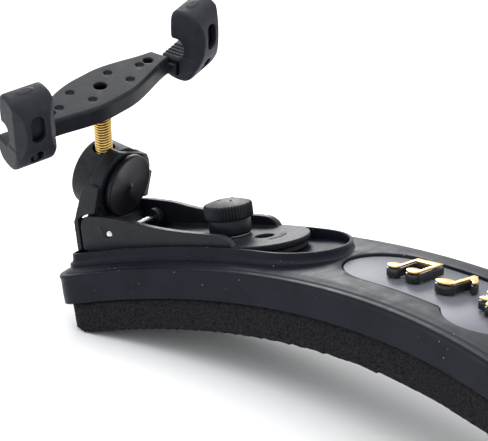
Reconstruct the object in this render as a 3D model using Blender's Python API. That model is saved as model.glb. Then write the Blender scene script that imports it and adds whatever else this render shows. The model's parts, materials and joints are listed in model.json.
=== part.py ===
"""Violin shoulder rest: an arched base with a foam pad and a folding fork leg at each end.

The rest lies foam side down. X runs along the base, +Z is up, and the base bows towards +Y.
The left end is modelled and the right end is its mirror image across the plane X = 0.
Lengths are in metres.
"""
from math import asin, cos, pi, radians, sin

import bmesh
import bpy
from mathutils import Matrix, Vector

MM = 0.001
GAP = 0.3 * MM

# Base: the reference line is a circular arch that is also bowed in plan.
ARCH_RADIUS = 365 * MM
BOW_RADIUS = 205 * MM
BASE_HALF_LENGTH = 114.5 * MM
CROWN_Y = 21.759 * MM
BASE_HALF_WIDTH = 17.0 * MM
BASE_CORNER = 6.0 * MM
BASE_STEPS = 30
SKIRT_BOTTOM = -10.0 * MM
BASE_TOP = -2.0 * MM
TOP_LEAN = 0.045
LEAN_START = -3.6 * MM
LEAN_FULL = -2.4 * MM
SHELL_WALL = 2.2 * MM
SHELL_ROOF = -4.6 * MM
END_BLOCK = 9.0 * MM

# Foam pad under the shell, trimmed flat where the rest stands.
FOAM_INSET = 0.9 * MM
FOAM_END_INSET = 2.0 * MM
FOAM_END_SPREAD = 1.0 * MM
FOAM_THICKNESS = 7.0 * MM
FLAT_HALF_SPAN = 107.5 * MM

# Name plate recess in the middle of the base.
CARTOUCHE_HALF_LENGTH = 42 * MM
CARTOUCHE_HALF_WIDTH = 8.85 * MM
CARTOUCHE_SHOULDER = 13 * MM
MEDALLION_RADIUS = 12.4 * MM
RECESS_DEPTH = 1.4 * MM
PLATE_THICKNESS = 0.6 * MM
ORNAMENT_HEIGHT = 1.7 * MM
FACE_THICKNESS = 0.4 * MM
ORNAMENT_PITCH = 12 * MM

# Foot: a plate with two cheeks. Its frame has its origin at the hinge pin's station,
# X along the plate towards the middle of the base, and Z = 0 on the plate's top face.
FOOT_STATION = 76 * MM
FOOT_CENTRE_X = 24 * MM
FOOT_HALF_WIDTH = 10.0 * MM
FOOT_OUTER_X = -8.0 * MM
PLATE_START_X = 4.2 * MM
PLATE_END_X = 45.0 * MM
FOOT_PLATE = 1.4 * MM
CHEEK_THICKNESS = 1.7 * MM
CHEEK_BOTTOM = -2.0 * MM
SCREW_X = 26.3 * MM
SPARE_HOLE_X = 35.05 * MM
SPARE_HOLE_RADIUS = 2.1 * MM
SCREW_HOLE_RADIUS = 2.35 * MM
PAD_RADIUS = 9.0 * MM
PAD_CENTRE_X = 35.4 * MM
PAD_NECK_X = 33.7 * MM
PAD_START_X = 31.0 * MM
PAD_THICKNESS = 0.9 * MM

# Pocket round the foot: a sunk flat floor inside a raised rim that follows the arch.
POCKET_HALF_WIDTH = 10.7 * MM
POCKET_INNER_END = 44.8 * MM
POCKET_OUTER_END = 110.6 * MM
POCKET_CORNER = 1.8 * MM
POCKET_FLOOR = -2.95 * MM
RIM_WIDTH = 0.7 * MM
RIM_BOTTOM = -5.2 * MM

# Hinge pin.
PIN_Z = 1.9 * MM
PIN_RADIUS = 0.8 * MM
PIN_CLEARANCE = 0.06 * MM
KNUCKLE_RADIUS = 2.3 * MM
KNUCKLE_INNER_Y = 5.8 * MM
LEG_HALF_WIDTH = 8.0 * MM

# Leg: leans towards the middle of the base. Its frame is centred on the hinge pin.
LEG_LEAN = radians(21)
DRUM_Z = 8.2 * MM
DRUM_RADIUS = 8.0 * MM
DRUM_BACK_X = -14.4 * MM
DRUM_FRONT_X = -6.7 * MM
CUP_BACK_X = -8.3 * MM
CUP_FRONT_X = -5.0 * MM
CUP_WALL_BACK_X = -6.4 * MM
CUP_RADIUS = 9.0 * MM
NEAR_HORN_ANGLE = radians(22)
FAR_HORN_ANGLE = radians(48)
SKIRT_OUTER_X = -9.9 * MM
SKIRT_INNER_X = -8.6 * MM
EAR_INNER_Y = 8.5 * MM
EAR_OUTER_Y = 9.9 * MM
AXLE_RADIUS = 2.4 * MM
CAP_RADIUS = 7.3 * MM
CAP_BACK_X = -4.7 * MM
CAP_FRONT_X = -3.5 * MM

# Fork stud (M4) and its threaded bush.
STUD_X = -10.8 * MM
STUD_RADIUS = 2.0 * MM
STUD_PITCH = 0.7 * MM
STUD_BOTTOM = -3.0 * MM
FORK_TILT = radians(17.7)
FORK_YAW = radians(-7)
BUSH_RADIUS = 3.1 * MM
BUSH_TOP = 6.2 * MM
BUSH_BOTTOM = -2.6 * MM
STUD_HOLE_RADIUS = 2.6 * MM

# Fork: a leaf-shaped bar with a hook at each end. Z = 0 is the bar's top face.
FORK_RISE = 24.2 * MM
BAR_THICKNESS = 4.4 * MM
BAR_HALF_LENGTH = 21.4 * MM
BAR_HALF_WIDTH = 6.6 * MM
BAR_WAIST = 2.5 * MM
BAR_CHAMFER = 0.6 * MM
CLAW_X = 1.5 * MM
CLAW_STATION = 23.75 * MM
CLAW_TURN = radians(12.5)
CLAW_HALF_WIDTH = 4.75 * MM
HOOK_HALF_WIDTH = 2.8 * MM
BOOT_GAP = 0.25 * MM

# Thumb screw (M4) with a captive washer.
KNOB_BOTTOM = 0.75 * MM
COLLAR_RADIUS = 4.75 * MM
COLLAR_TOP = 3.9 * MM
GRIP_RADIUS = 5.4 * MM
GRIP_TOP = 7.1 * MM
DOME_TOP = 8.1 * MM
SHANK_RADIUS = 2.0 * MM
SHANK_BOTTOM = -7.6 * MM
SHANK_TOP = 3.2 * MM
INSERT_RADIUS = 3.2 * MM
INSERT_BOTTOM = -8.0 * MM

# Outlines in millimetres.
CHEEK_PROFILE = [
    (-8.0, -2.0), (-8.0, 3.6), (-7.5, 4.9), (-6.5, 5.6), (-5.2, 5.9), (-1.0, 5.8),
    (4.8, 5.2), (9.0, 4.3), (14.0, 3.5), (20.0, 2.9), (27.0, 2.5), (30.5, 2.2),
    (32.3, 1.3), (33.3, 0.0), (33.3, -1.0), (32.6, -2.0),
]
BOOT_PROFILE = [
    (0.3, 4.9), (0.0, 6.5), (0.1, 9.6), (0.6, 11.4), (1.8, 12.2), (4.8, 12.2),
    (6.6, 11.2), (7.7, 9.4), (8.3, 6.6), (8.3, 3.6), (7.8, 0.6), (6.8, -2.0),
    (5.4, -4.4), (3.6, -5.7), (0.9, -5.7), (-1.2, -4.9), (-2.2, -3.2), (-2.4, -1.0),
    (-2.1, 0.1), (1.6, 0.1), (2.6, 0.6), (3.2, 1.6), (3.3, 3.0), (2.8, 4.2), (1.9, 4.8),
]
HOOK_PROFILE = [
    (-0.8, -1.2), (3.4, -1.2), (4.4, -0.6), (4.8, 1.0), (4.9, 3.2), (4.5, 5.2),
    (3.4, 6.2), (1.8, 6.5), (1.8, 9.8), (2.6, 10.6), (4.4, 10.6), (5.7, 9.6),
    (6.5, 7.4), (6.8, 4.2), (6.3, 0.8), (5.4, -1.8), (4.2, -3.6), (3.0, -4.2),
    (0.4, -4.2), (-0.8, -3.4),
]
DIMPLES = [(-2.74, 4.76), (2.74, -4.76), (-2.81, -6.43), (2.81, 6.43), (0.0, 12.0), (0.0, -12.0)]
BAR_HOLES = [(0.0, 0.0, 1.45), (0.0, 14.6, 1.1), (0.0, -14.6, 1.1)]

# Colour, roughness and metallic value of each material.
FINISHES = {
    "shell_plastic": ((0.030, 0.033, 0.040), 0.42, 0.0),
    "foam": ((0.022, 0.022, 0.022), 0.95, 0.0),
    "plate_gloss": ((0.34, 0.35, 0.40), 0.18, 0.0),
    "ornament_black": ((0.02, 0.02, 0.022), 0.30, 0.0),
    "gold_foil": ((0.86, 0.62, 0.26), 0.30, 1.0),
    "nylon": ((0.036, 0.038, 0.045), 0.48, 0.0),
    "rubber": ((0.040, 0.043, 0.050), 0.70, 0.0),
    "pad_rubber": ((0.020, 0.021, 0.023), 0.80, 0.0),
    "brass": ((0.80, 0.58, 0.26), 0.25, 1.0),
    "steel": ((0.70, 0.70, 0.72), 0.28, 1.0),
    "cap_plastic": ((0.045, 0.046, 0.055), 0.30, 0.0),
}

MIRROR_X = Matrix.Diagonal((-1, 1, 1, 1))
MIRROR_Y = Matrix.Diagonal((1, -1, 1, 1))


# ---------------------------------------------------------------- frames

def base_frame(station):
    """Frame on the base's reference line at a distance from the middle, measured along it."""
    slope = station / ARCH_RADIUS
    run = ARCH_RADIUS * sin(slope)
    drop = ARCH_RADIUS * (1 - cos(slope))
    heading = run / BOW_RADIUS
    centre = Vector((BOW_RADIUS * sin(heading), -BOW_RADIUS * (1 - cos(heading)), -drop))
    turn = Matrix.Rotation(-heading, 4, "Z") @ Matrix.Rotation(slope, 4, "Y")
    return Matrix.Translation(centre) @ turn


def ground_height():
    """Height of the surface that the rest stands on, below the reference line's crown."""
    underside = SKIRT_BOTTOM - GAP - FOAM_THICKNESS
    return (base_frame(FLAT_HALF_SPAN) @ Vector((0, 0, underside))).z


LIFT = Matrix.Translation((0, CROWN_Y, -ground_height()))
FOOT = LIFT @ base_frame(-FOOT_STATION) @ Matrix.Translation((-FOOT_CENTRE_X, 0, 0))
LEG = FOOT @ Matrix.Translation((0, 0, PIN_Z)) @ Matrix.Rotation(LEG_LEAN, 4, "Y")
DRUM = LEG @ Matrix.Translation((0, 0, DRUM_Z))
STUD = (DRUM @ Matrix.Translation((STUD_X, 0, 0)) @ Matrix.Rotation(FORK_TILT, 4, "X")
        @ Matrix.Rotation(FORK_YAW, 4, "Z"))
SCREW = FOOT @ Matrix.Translation((SCREW_X, 0, 0))


def side_frame(frame, side):
    """A left-hand frame as it is, or its mirror image for the right side."""
    return frame if side == "left" else MIRROR_X @ frame @ MIRROR_Y


# ---------------------------------------------------------------- mesh tools

def new_material(name):
    colour, roughness, metallic = FINISHES[name]
    material = bpy.data.materials.new(name)
    material.use_nodes = True
    shader = material.node_tree.nodes["Principled BSDF"]
    shader.inputs["Base Color"].default_value = (*colour, 1.0)
    shader.inputs["Roughness"].default_value = roughness
    shader.inputs["Metallic"].default_value = metallic
    return material


def finish_bmesh(bm):
    bmesh.ops.remove_doubles(bm, verts=bm.verts, dist=1e-6)
    bmesh.ops.recalc_face_normals(bm, faces=bm.faces)
    return bm


def skin_loops(loops):
    """Closed solid through a list of loops with equal point counts, capped at both ends."""
    bm = bmesh.new()
    rings = [[bm.verts.new(point) for point in loop] for loop in loops]
    count = len(rings[0])
    for low, high in zip(rings, rings[1:]):
        for i in range(count):
            j = (i + 1) % count
            bm.faces.new((low[i], low[j], high[j], high[i]))
    bm.faces.new(list(reversed(rings[0])))
    bm.faces.new(rings[-1])
    return finish_bmesh(bm)


def prism(outline, axis, low, high):
    """Outline of 2-D points extruded along X, Y or Z between two levels."""
    def point(a, b, level):
        return {"X": (level, a, b), "Y": (a, level, b), "Z": (a, b, level)}[axis]
    return skin_loops([[point(a, b, level) for a, b in outline] for level in (low, high)])


def circle(radius, count, centre=(0.0, 0.0)):
    return [(centre[0] + radius * cos(2 * pi * i / count),
             centre[1] + radius * sin(2 * pi * i / count)) for i in range(count)]


def arc(radius, start, end, count, centre=(0.0, 0.0)):
    return [(centre[0] + radius * cos(start + (end - start) * i / count),
             centre[1] + radius * sin(start + (end - start) * i / count))
            for i in range(count + 1)]


def turned(profile, axis="Z", count=24, centre=(0.0, 0.0)):
    """Solid of revolution from (level, radius) pairs, along an axis through a 2-D centre."""
    def point(a, b, level):
        return {"X": (level, a, b), "Y": (a, level, b), "Z": (a, b, level)}[axis]
    return skin_loops([[point(a, b, level) for a, b in circle(radius, count, centre)]
                       for level, radius in profile])


def box(low, high):
    outline = [(low[0], low[1]), (high[0], low[1]), (high[0], high[1]), (low[0], high[1])]
    return prism(outline, "Z", low[2], high[2])


def millimetres(points):
    return [(a * MM, b * MM) for a, b in points]


def scratch_object(bm):
    mesh = bpy.data.meshes.new("scratch")
    bm.to_mesh(mesh)
    bm.free()
    scratch = bpy.data.objects.new("scratch", mesh)
    bpy.context.scene.collection.objects.link(scratch)
    return scratch


def combine(bm, tools, operation):
    """Union with, or cut by, each tool in turn."""
    body = scratch_object(bm)
    for tool_bm in tools:
        tool = scratch_object(tool_bm)
        modifier = body.modifiers.new("combine", "BOOLEAN")
        modifier.operation = operation
        modifier.solver = "EXACT"
        modifier.object = tool
        depsgraph = bpy.context.evaluated_depsgraph_get()
        result = bpy.data.meshes.new_from_object(body.evaluated_get(depsgraph))
        body.modifiers.clear()
        body.data = result
        bpy.data.objects.remove(tool)
    out = bmesh.new()
    out.from_mesh(body.data)
    bpy.data.objects.remove(body)
    return out


def union(bm, tools):
    return combine(bm, tools, "UNION")


def cut(bm, tools):
    return combine(bm, tools, "DIFFERENCE")


def mapped(bm, function):
    for vertex in bm.verts:
        vertex.co = function(vertex.co)
    return bm


def add_node(name, bm, finish, parent=None, mirrored=False):
    """A named object with its own material, in its parent's frame."""
    if mirrored:
        bmesh.ops.transform(bm, matrix=MIRROR_Y, verts=bm.verts)
        bmesh.ops.reverse_faces(bm, faces=bm.faces)
    mesh = bpy.data.meshes.new(name)
    bm.to_mesh(mesh)
    bm.free()
    mesh.shade_smooth()
    mesh.set_sharp_from_angle(angle=radians(32))
    mesh.materials.append(new_material(finish))
    node = bpy.data.objects.new(name, mesh)
    bpy.context.scene.collection.objects.link(node)
    node.parent = parent
    return node


def add_empty(name, frame, side):
    empty = bpy.data.objects.new(name, None)
    empty.empty_display_size = 10 * MM
    bpy.context.scene.collection.objects.link(empty)
    empty.matrix_world = side_frame(frame, side)
    return empty


# ---------------------------------------------------------------- base

def on_base(point):
    """Maps (distance along the base, distance across it, height) onto the arched line."""
    return LIFT @ base_frame(point[0]) @ Vector((0, point[1], point[2]))


def on_plate(point):
    """The same, leaning with the top of the base, whose far side is a little higher."""
    return on_base((point[0], point[1], point[2] + TOP_LEAN * point[1]))


def on_shell(point):
    """The same, where the lean grows from nothing at the moulded edge to full at the top."""
    share = min(max((point[2] - LEAN_START) / (LEAN_FULL - LEAN_START), 0.0), 1.0)
    return on_base((point[0], point[1], point[2] + TOP_LEAN * point[1] * share))


def rounded_oblong(half_length, half_width, corner, steps=BASE_STEPS):
    """Rounded rectangle whose long sides are divided so that they can follow the arch."""
    straight = half_length - corner
    side = [(-straight + 2 * straight * i / steps) for i in range(1, steps)]
    points = [(x, -half_width) for x in side]
    points += arc(corner, -pi / 2, 0, 5, (straight, -(half_width - corner)))
    points += arc(corner, 0, pi / 2, 5, (straight, half_width - corner))
    points += [(x, half_width) for x in reversed(side)]
    points += arc(corner, pi / 2, pi, 5, (-straight, half_width - corner))
    points += arc(corner, pi, 3 * pi / 2, 5, (-straight, -(half_width - corner)))
    return points


def oblong_solid(levels):
    """Solid from (half length, half width, corner, height) levels, top and bottom arched."""
    bm = bmesh.new()
    rings = []
    for half_length, half_width, corner, height in levels:
        outline = rounded_oblong(half_length, half_width, corner)
        rings.append([bm.verts.new((x, y, height)) for x, y in outline])
    count = len(rings[0])
    for low, high in zip(rings, rings[1:]):
        for i in range(count):
            j = (i + 1) % count
            bm.faces.new((low[i], low[j], high[j], high[i]))
    for ring in (rings[0], rings[-1]):
        near = BASE_STEPS - 1 + 5
        ordered = ring[-6:] + ring[:near + 1]
        opposite = ring[near + 1:-6]
        width = len(ordered)
        partner = list(reversed(opposite))
        lead = (width - len(partner)) // 2
        for i in range(width - 1):
            a = ordered[i]
            b = ordered[i + 1]
            c = partner[min(max(i + 1 - lead, 0), len(partner) - 1)]
            d = partner[min(max(i - lead, 0), len(partner) - 1)]
            corners = [a, b, c] if c == d else [a, b, c, d]
            bm.faces.new(corners)
    return finish_bmesh(bm)


def base_levels():
    """Moulded edge of the shell: (distance in from the widest outline, height) in mm."""
    edge = [(0.0, -10.0), (0.1, -8.0), (0.35, -5.6), (0.45, -4.7), (0.2, -4.0), (0.35, -3.6),
            (0.8, -3.3), (1.5, -3.15), (2.0, -3.0), (2.6, -2.6), (3.4, -2.3), (5.0, -2.1)]
    levels = []
    for inset, height in millimetres(edge):
        corner = max(BASE_CORNER - inset, 1.5 * MM)
        levels.append((BASE_HALF_LENGTH - inset, BASE_HALF_WIDTH - inset, corner, height))
    return levels


def pocket_outline(grow):
    """Left pocket in (station, across): round inside end, far side straight past the middle."""
    half = POCKET_HALF_WIDTH + grow
    centre = -POCKET_INNER_END - POCKET_HALF_WIDTH
    corner = POCKET_CORNER + grow
    outer = -POCKET_OUTER_END - grow
    points = arc(half, -pi / 2, pi / 2, 14, (centre, 0.0))
    far_side = [centre + (outer + corner - centre) * i / 10 for i in range(1, 11)]
    spread = [max(-FOOT_STATION - station, 0.0) ** 2 / (2 * BOW_RADIUS) for station in far_side]
    points += [(station, half + extra) for station, extra in zip(far_side, spread)]
    points += arc(corner, pi / 2, pi, 4, (outer + corner, half + spread[-1] - corner))[1:]
    points += arc(corner, pi, 3 * pi / 2, 4, (outer + corner, -(half - corner)))
    points += [(station, -half) for station in reversed(far_side[:-1])]
    return points


def pocket_solid(grow, low, rise, side):
    """Solid over the pocket: flat below, and above it follows the arch at a height."""
    inverse = FOOT.inverted()
    tops = [inverse @ on_base((x, y, rise)) for x, y in pocket_outline(grow)]
    bottoms = [Vector((point.x, point.y, low)) for point in tops]
    bm = skin_loops([bottoms, tops])
    bmesh.ops.triangulate(bm, faces=[face for face in bm.faces if len(face.verts) > 4])
    frame = FOOT if side == "left" else MIRROR_X @ FOOT
    bmesh.ops.transform(bm, matrix=frame, verts=bm.verts)
    bmesh.ops.recalc_face_normals(bm, faces=bm.faces)
    return bm


def cartouche_outline(grow):
    """Long pointed oval with a round medallion in the middle."""
    half_length = CARTOUCHE_HALF_LENGTH + grow
    half_width = CARTOUCHE_HALF_WIDTH + grow
    radius = MEDALLION_RADIUS + grow
    shoulder = CARTOUCHE_SHOULDER
    reach = (radius ** 2 - half_width ** 2) ** 0.5
    tip = []
    for i in range(9):
        turn = pi / 2 * i / 8
        tip.append((half_length - shoulder * (1 - sin(turn)), -half_width * cos(turn)))
    flat = [(reach + (tip[0][0] - reach) * i / 4, -half_width) for i in range(1, 4)]
    side = asin(half_width / radius)
    bulge = arc(radius, -pi / 2, -side, 5)
    quarter = bulge + flat + tip
    upper = [(x, -y) for x, y in reversed(quarter[:-1])]
    right = quarter + upper
    left = [(-x, y) for x, y in reversed(right[1:-1])]
    return right + left


def cartouche_solid(grow, low, high):
    bm = prism(cartouche_outline(grow), "Z", low, high)
    cuts = [(-40 + 5 * i) * MM for i in range(17)]
    geometry = bm.verts[:] + bm.edges[:] + bm.faces[:]
    for x in cuts:
        bmesh.ops.bisect_plane(bm, geom=geometry, plane_co=(x, 0, 0), plane_no=(1, 0, 0))
        geometry = bm.verts[:] + bm.edges[:] + bm.faces[:]
    return mapped(bm, on_plate)


def make_shell():
    levels = base_levels()
    inset, height = 9.5 * MM, BASE_TOP
    levels.append((BASE_HALF_LENGTH - inset, BASE_HALF_WIDTH - inset, 1.5 * MM, height))
    body = mapped(oblong_solid(levels), on_shell)
    wall = SHELL_WALL
    hollow = mapped(oblong_solid([
        (BASE_HALF_LENGTH - END_BLOCK, BASE_HALF_WIDTH - wall, 4 * MM, SKIRT_BOTTOM - 1 * MM),
        (BASE_HALF_LENGTH - END_BLOCK, BASE_HALF_WIDTH - wall - 0.6 * MM, 4 * MM, SHELL_ROOF),
    ]), on_base)
    body = cut(body, [hollow])
    bosses = []
    for side in ("left", "right"):
        boss = turned([(INSERT_BOTTOM - 1.2 * MM, 5.0 * MM), (-4.0 * MM, 5.4 * MM)], count=16)
        bmesh.ops.transform(boss, matrix=side_frame(SCREW, side), verts=boss.verts)
        bmesh.ops.recalc_face_normals(boss, faces=boss.faces)
        bosses.append(boss)
        bosses.append(pocket_solid(RIM_WIDTH, RIM_BOTTOM, 0.0, side))
    body = union(body, bosses)
    cutters = []
    for side in ("left", "right"):
        cutters.append(pocket_solid(0.0, POCKET_FLOOR, 8 * MM, side))
        bore = turned([(INSERT_BOTTOM - GAP, INSERT_RADIUS + GAP), (0.0, INSERT_RADIUS + GAP)],
                      count=20)
        bmesh.ops.transform(bore, matrix=side_frame(SCREW, side), verts=bore.verts)
        bmesh.ops.recalc_face_normals(bore, faces=bore.faces)
        cutters.append(bore)
    cutters.append(cartouche_solid(0.0, BASE_TOP - RECESS_DEPTH, BASE_TOP + 3 * MM))
    return cut(body, cutters)


def make_foam():
    top = SKIRT_BOTTOM - GAP
    bottom = top - FOAM_THICKNESS
    half_length = BASE_HALF_LENGTH - FOAM_END_INSET
    half_width = BASE_HALF_WIDTH - FOAM_INSET
    corner = BASE_CORNER - FOAM_INSET
    levels = [(half_length + FOAM_END_SPREAD, half_width, corner, bottom),
              (half_length, half_width, corner, top)]
    bm = mapped(oblong_solid(levels), on_base)
    for vertex in bm.verts:
        vertex.co.z = max(vertex.co.z, 0.0)
    return bm


def make_name_plate():
    low = BASE_TOP - RECESS_DEPTH + GAP
    return cartouche_solid(-GAP, low, low + PLATE_THICKNESS)


# ---------------------------------------------------------------- ornaments

def quaver(flip):
    """A note: an oval head, a stem and a flag."""
    head = [(-1.6 + 2.1 * cos(a) * 1.0 + 0.5 * sin(a), -2.6 + 1.5 * sin(a))
            for a in [2 * pi * i / 14 for i in range(14)]]
    stem = [(-0.5, -2.6), (0.7, -2.6), (0.7, 1.6), (2.6, 0.2), (3.0, 1.4), (1.9, 2.9),
            (0.7, 4.1), (-0.5, 4.1)]
    return [[(x * flip, y) for x, y in outline] for outline in (head, stem)]


def beamed_pair(flip):
    """Two joined notes."""
    outlines = []
    for shift in (0.0, 5.2):
        outlines.append([(-3.4 + shift + 1.75 * cos(a), -2.7 + 1.35 * sin(a))
                         for a in [2 * pi * i / 12 for i in range(12)]])
    frame = [(-2.7, -2.7), (-1.7, -2.7), (-1.7, 1.7), (2.5, 2.3), (2.5, -2.7), (3.5, -2.7),
             (3.5, 4.3), (-2.7, 3.5)]
    outlines.append(frame)
    return [[(x * flip, y) for x, y in outline] for outline in outlines]


def ornament_outlines():
    """Outlines of each raised ornament with its place along the name plate."""
    rosette = []
    for i in range(32):
        angle = 2 * pi * i / 32
        radius = 4.3 + 0.75 * cos(8 * angle)
        rosette.append((radius * cos(angle), radius * sin(angle)))
    return [(-2, beamed_pair(1)), (-1, quaver(1)), (0, [rosette]),
            (1, quaver(-1)), (2, beamed_pair(-1))]


def make_ornament(place, outlines, low, high, shrink):
    """One raised ornament; shrink narrows its outlines slightly."""
    solids = []
    for outline in outlines:
        points = millimetres(outline)
        centre = Vector((sum(p[0] for p in points), sum(p[1] for p in points))) / len(points)
        points = [tuple(centre + (Vector(p) - centre) * shrink) for p in points]
        shifted = [(x + place * ORNAMENT_PITCH, y) for x, y in points]
        solids.append(prism(shifted, "Z", low, high))
    solid = solids[0]
    if len(solids) > 1:
        solid = union(solid, solids[1:])
    if place == 0:
        eye = turned([(low - 1 * MM, 2.0 * MM), (high + 1 * MM, 2.0 * MM)], count=20)
        solid = cut(solid, [eye])
    return mapped(solid, on_plate)


# ---------------------------------------------------------------- foot

def make_foot():
    half = FOOT_HALF_WIDTH
    radius = half
    outline = arc(radius, -pi / 2, pi / 2, 18, (PLATE_END_X - radius, 0.0))
    outline += [(PLATE_START_X, half - 0.2 * MM), (PLATE_START_X, -(half - 0.2 * MM))]
    body = prism(outline, "Z", -FOOT_PLATE, 0.0)
    profile = millimetres(CHEEK_PROFILE)
    near = prism(profile, "Y", -half, -half + CHEEK_THICKNESS)
    far = prism(profile, "Y", half - CHEEK_THICKNESS, half)
    body = union(body, [near, far])
    span = half + 1 * MM
    pin_bore = turned([(-span, PIN_RADIUS + PIN_CLEARANCE), (span, PIN_RADIUS + PIN_CLEARANCE)],
                      "Y", 16, (0.0, PIN_Z))
    screw_hole = turned([(-3 * MM, SCREW_HOLE_RADIUS), (1 * MM, SCREW_HOLE_RADIUS)],
                        count=20, centre=(SCREW_X, 0.0))
    spare_hole = turned([(-3 * MM, SPARE_HOLE_RADIUS), (1 * MM, SPARE_HOLE_RADIUS)],
                        count=20, centre=(SPARE_HOLE_X, 0.0))
    return cut(body, [pin_bore, screw_hole, spare_hole])


def make_slide_pad():
    top = -FOOT_PLATE - 0.25 * MM
    outline = arc(PAD_RADIUS, -pi / 2, pi / 2, 16, (PAD_CENTRE_X, 0.0))
    neck = FOOT_HALF_WIDTH - CHEEK_THICKNESS - 0.4 * MM
    outline += [(PAD_NECK_X, PAD_RADIUS), (PAD_NECK_X, neck), (PAD_START_X, neck),
                (PAD_START_X, -neck), (PAD_NECK_X, -neck), (PAD_NECK_X, -PAD_RADIUS)]
    body = prism(outline, "Z", top - PAD_THICKNESS, top)
    hole = turned([(top - 3 * MM, 2.4 * MM), (top + 1 * MM, 2.4 * MM)],
                  count=20, centre=(SPARE_HOLE_X, 0.0))
    return cut(body, [hole])


def make_pin():
    head = FOOT_HALF_WIDTH + 0.15 * MM
    return turned([(-head, PIN_RADIUS - 0.25 * MM), (-head + 0.2 * MM, PIN_RADIUS),
                   (head - 0.2 * MM, PIN_RADIUS), (head, PIN_RADIUS - 0.25 * MM)],
                  "Y", 16)


def make_insert():
    top = POCKET_FLOOR - 0.1 * MM
    body = turned([(INSERT_BOTTOM, INSERT_RADIUS), (top, INSERT_RADIUS)], count=20)
    bore = turned([(INSERT_BOTTOM - 1 * MM, SHANK_RADIUS + GAP), (0.0, SHANK_RADIUS + GAP)],
                  count=20)
    return cut(body, [bore])


# ---------------------------------------------------------------- thumb screw

def make_knob():
    body = turned([
        (KNOB_BOTTOM, COLLAR_RADIUS - 0.3 * MM), (KNOB_BOTTOM + 0.3 * MM, COLLAR_RADIUS),
        (COLLAR_TOP, COLLAR_RADIUS - 0.1 * MM), (COLLAR_TOP + 0.05 * MM, GRIP_RADIUS - 0.25 * MM),
        (COLLAR_TOP + 0.35 * MM, GRIP_RADIUS), (GRIP_TOP - 0.4 * MM, GRIP_RADIUS),
        (GRIP_TOP, GRIP_RADIUS - 0.4 * MM), (GRIP_TOP + 0.55 * MM, 3.6 * MM),
        (DOME_TOP, 1.4 * MM)], count=30)
    socket = turned([(-1 * MM, SHANK_RADIUS + 0.2 * MM), (SHANK_TOP + 0.2 * MM,
                    SHANK_RADIUS + 0.2 * MM)], count=20)
    return cut(body, [socket])


def make_shank():
    return turned([(SHANK_BOTTOM, SHANK_RADIUS - 0.5 * MM),
                   (SHANK_BOTTOM + 0.5 * MM, SHANK_RADIUS), (SHANK_TOP, SHANK_RADIUS)], count=20)


def make_washer():
    body = turned([(0.2 * MM, 4.5 * MM), (0.5 * MM, 4.5 * MM)], count=24)
    hole = turned([(-1 * MM, 2.35 * MM), (1 * MM, 2.35 * MM)], count=20)
    return cut(body, [hole])


# ---------------------------------------------------------------- leg

def foot_to_leg(x, z):
    """A point of the foot's XZ plane in the leg's frame."""
    dz = z - PIN_Z
    return (x * cos(LEG_LEAN) - dz * sin(LEG_LEAN), x * sin(LEG_LEAN) + dz * cos(LEG_LEAN))


def cup_outline(radius, near_angle, far_angle):
    """Front view of the cup: round, open at the top, standing on the leg's lower part."""
    start = pi / 2 - far_angle
    turn = -(2 * pi - near_angle - far_angle)
    return arc(radius, start, start + turn, 26, (0.0, DRUM_Z))


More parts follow.
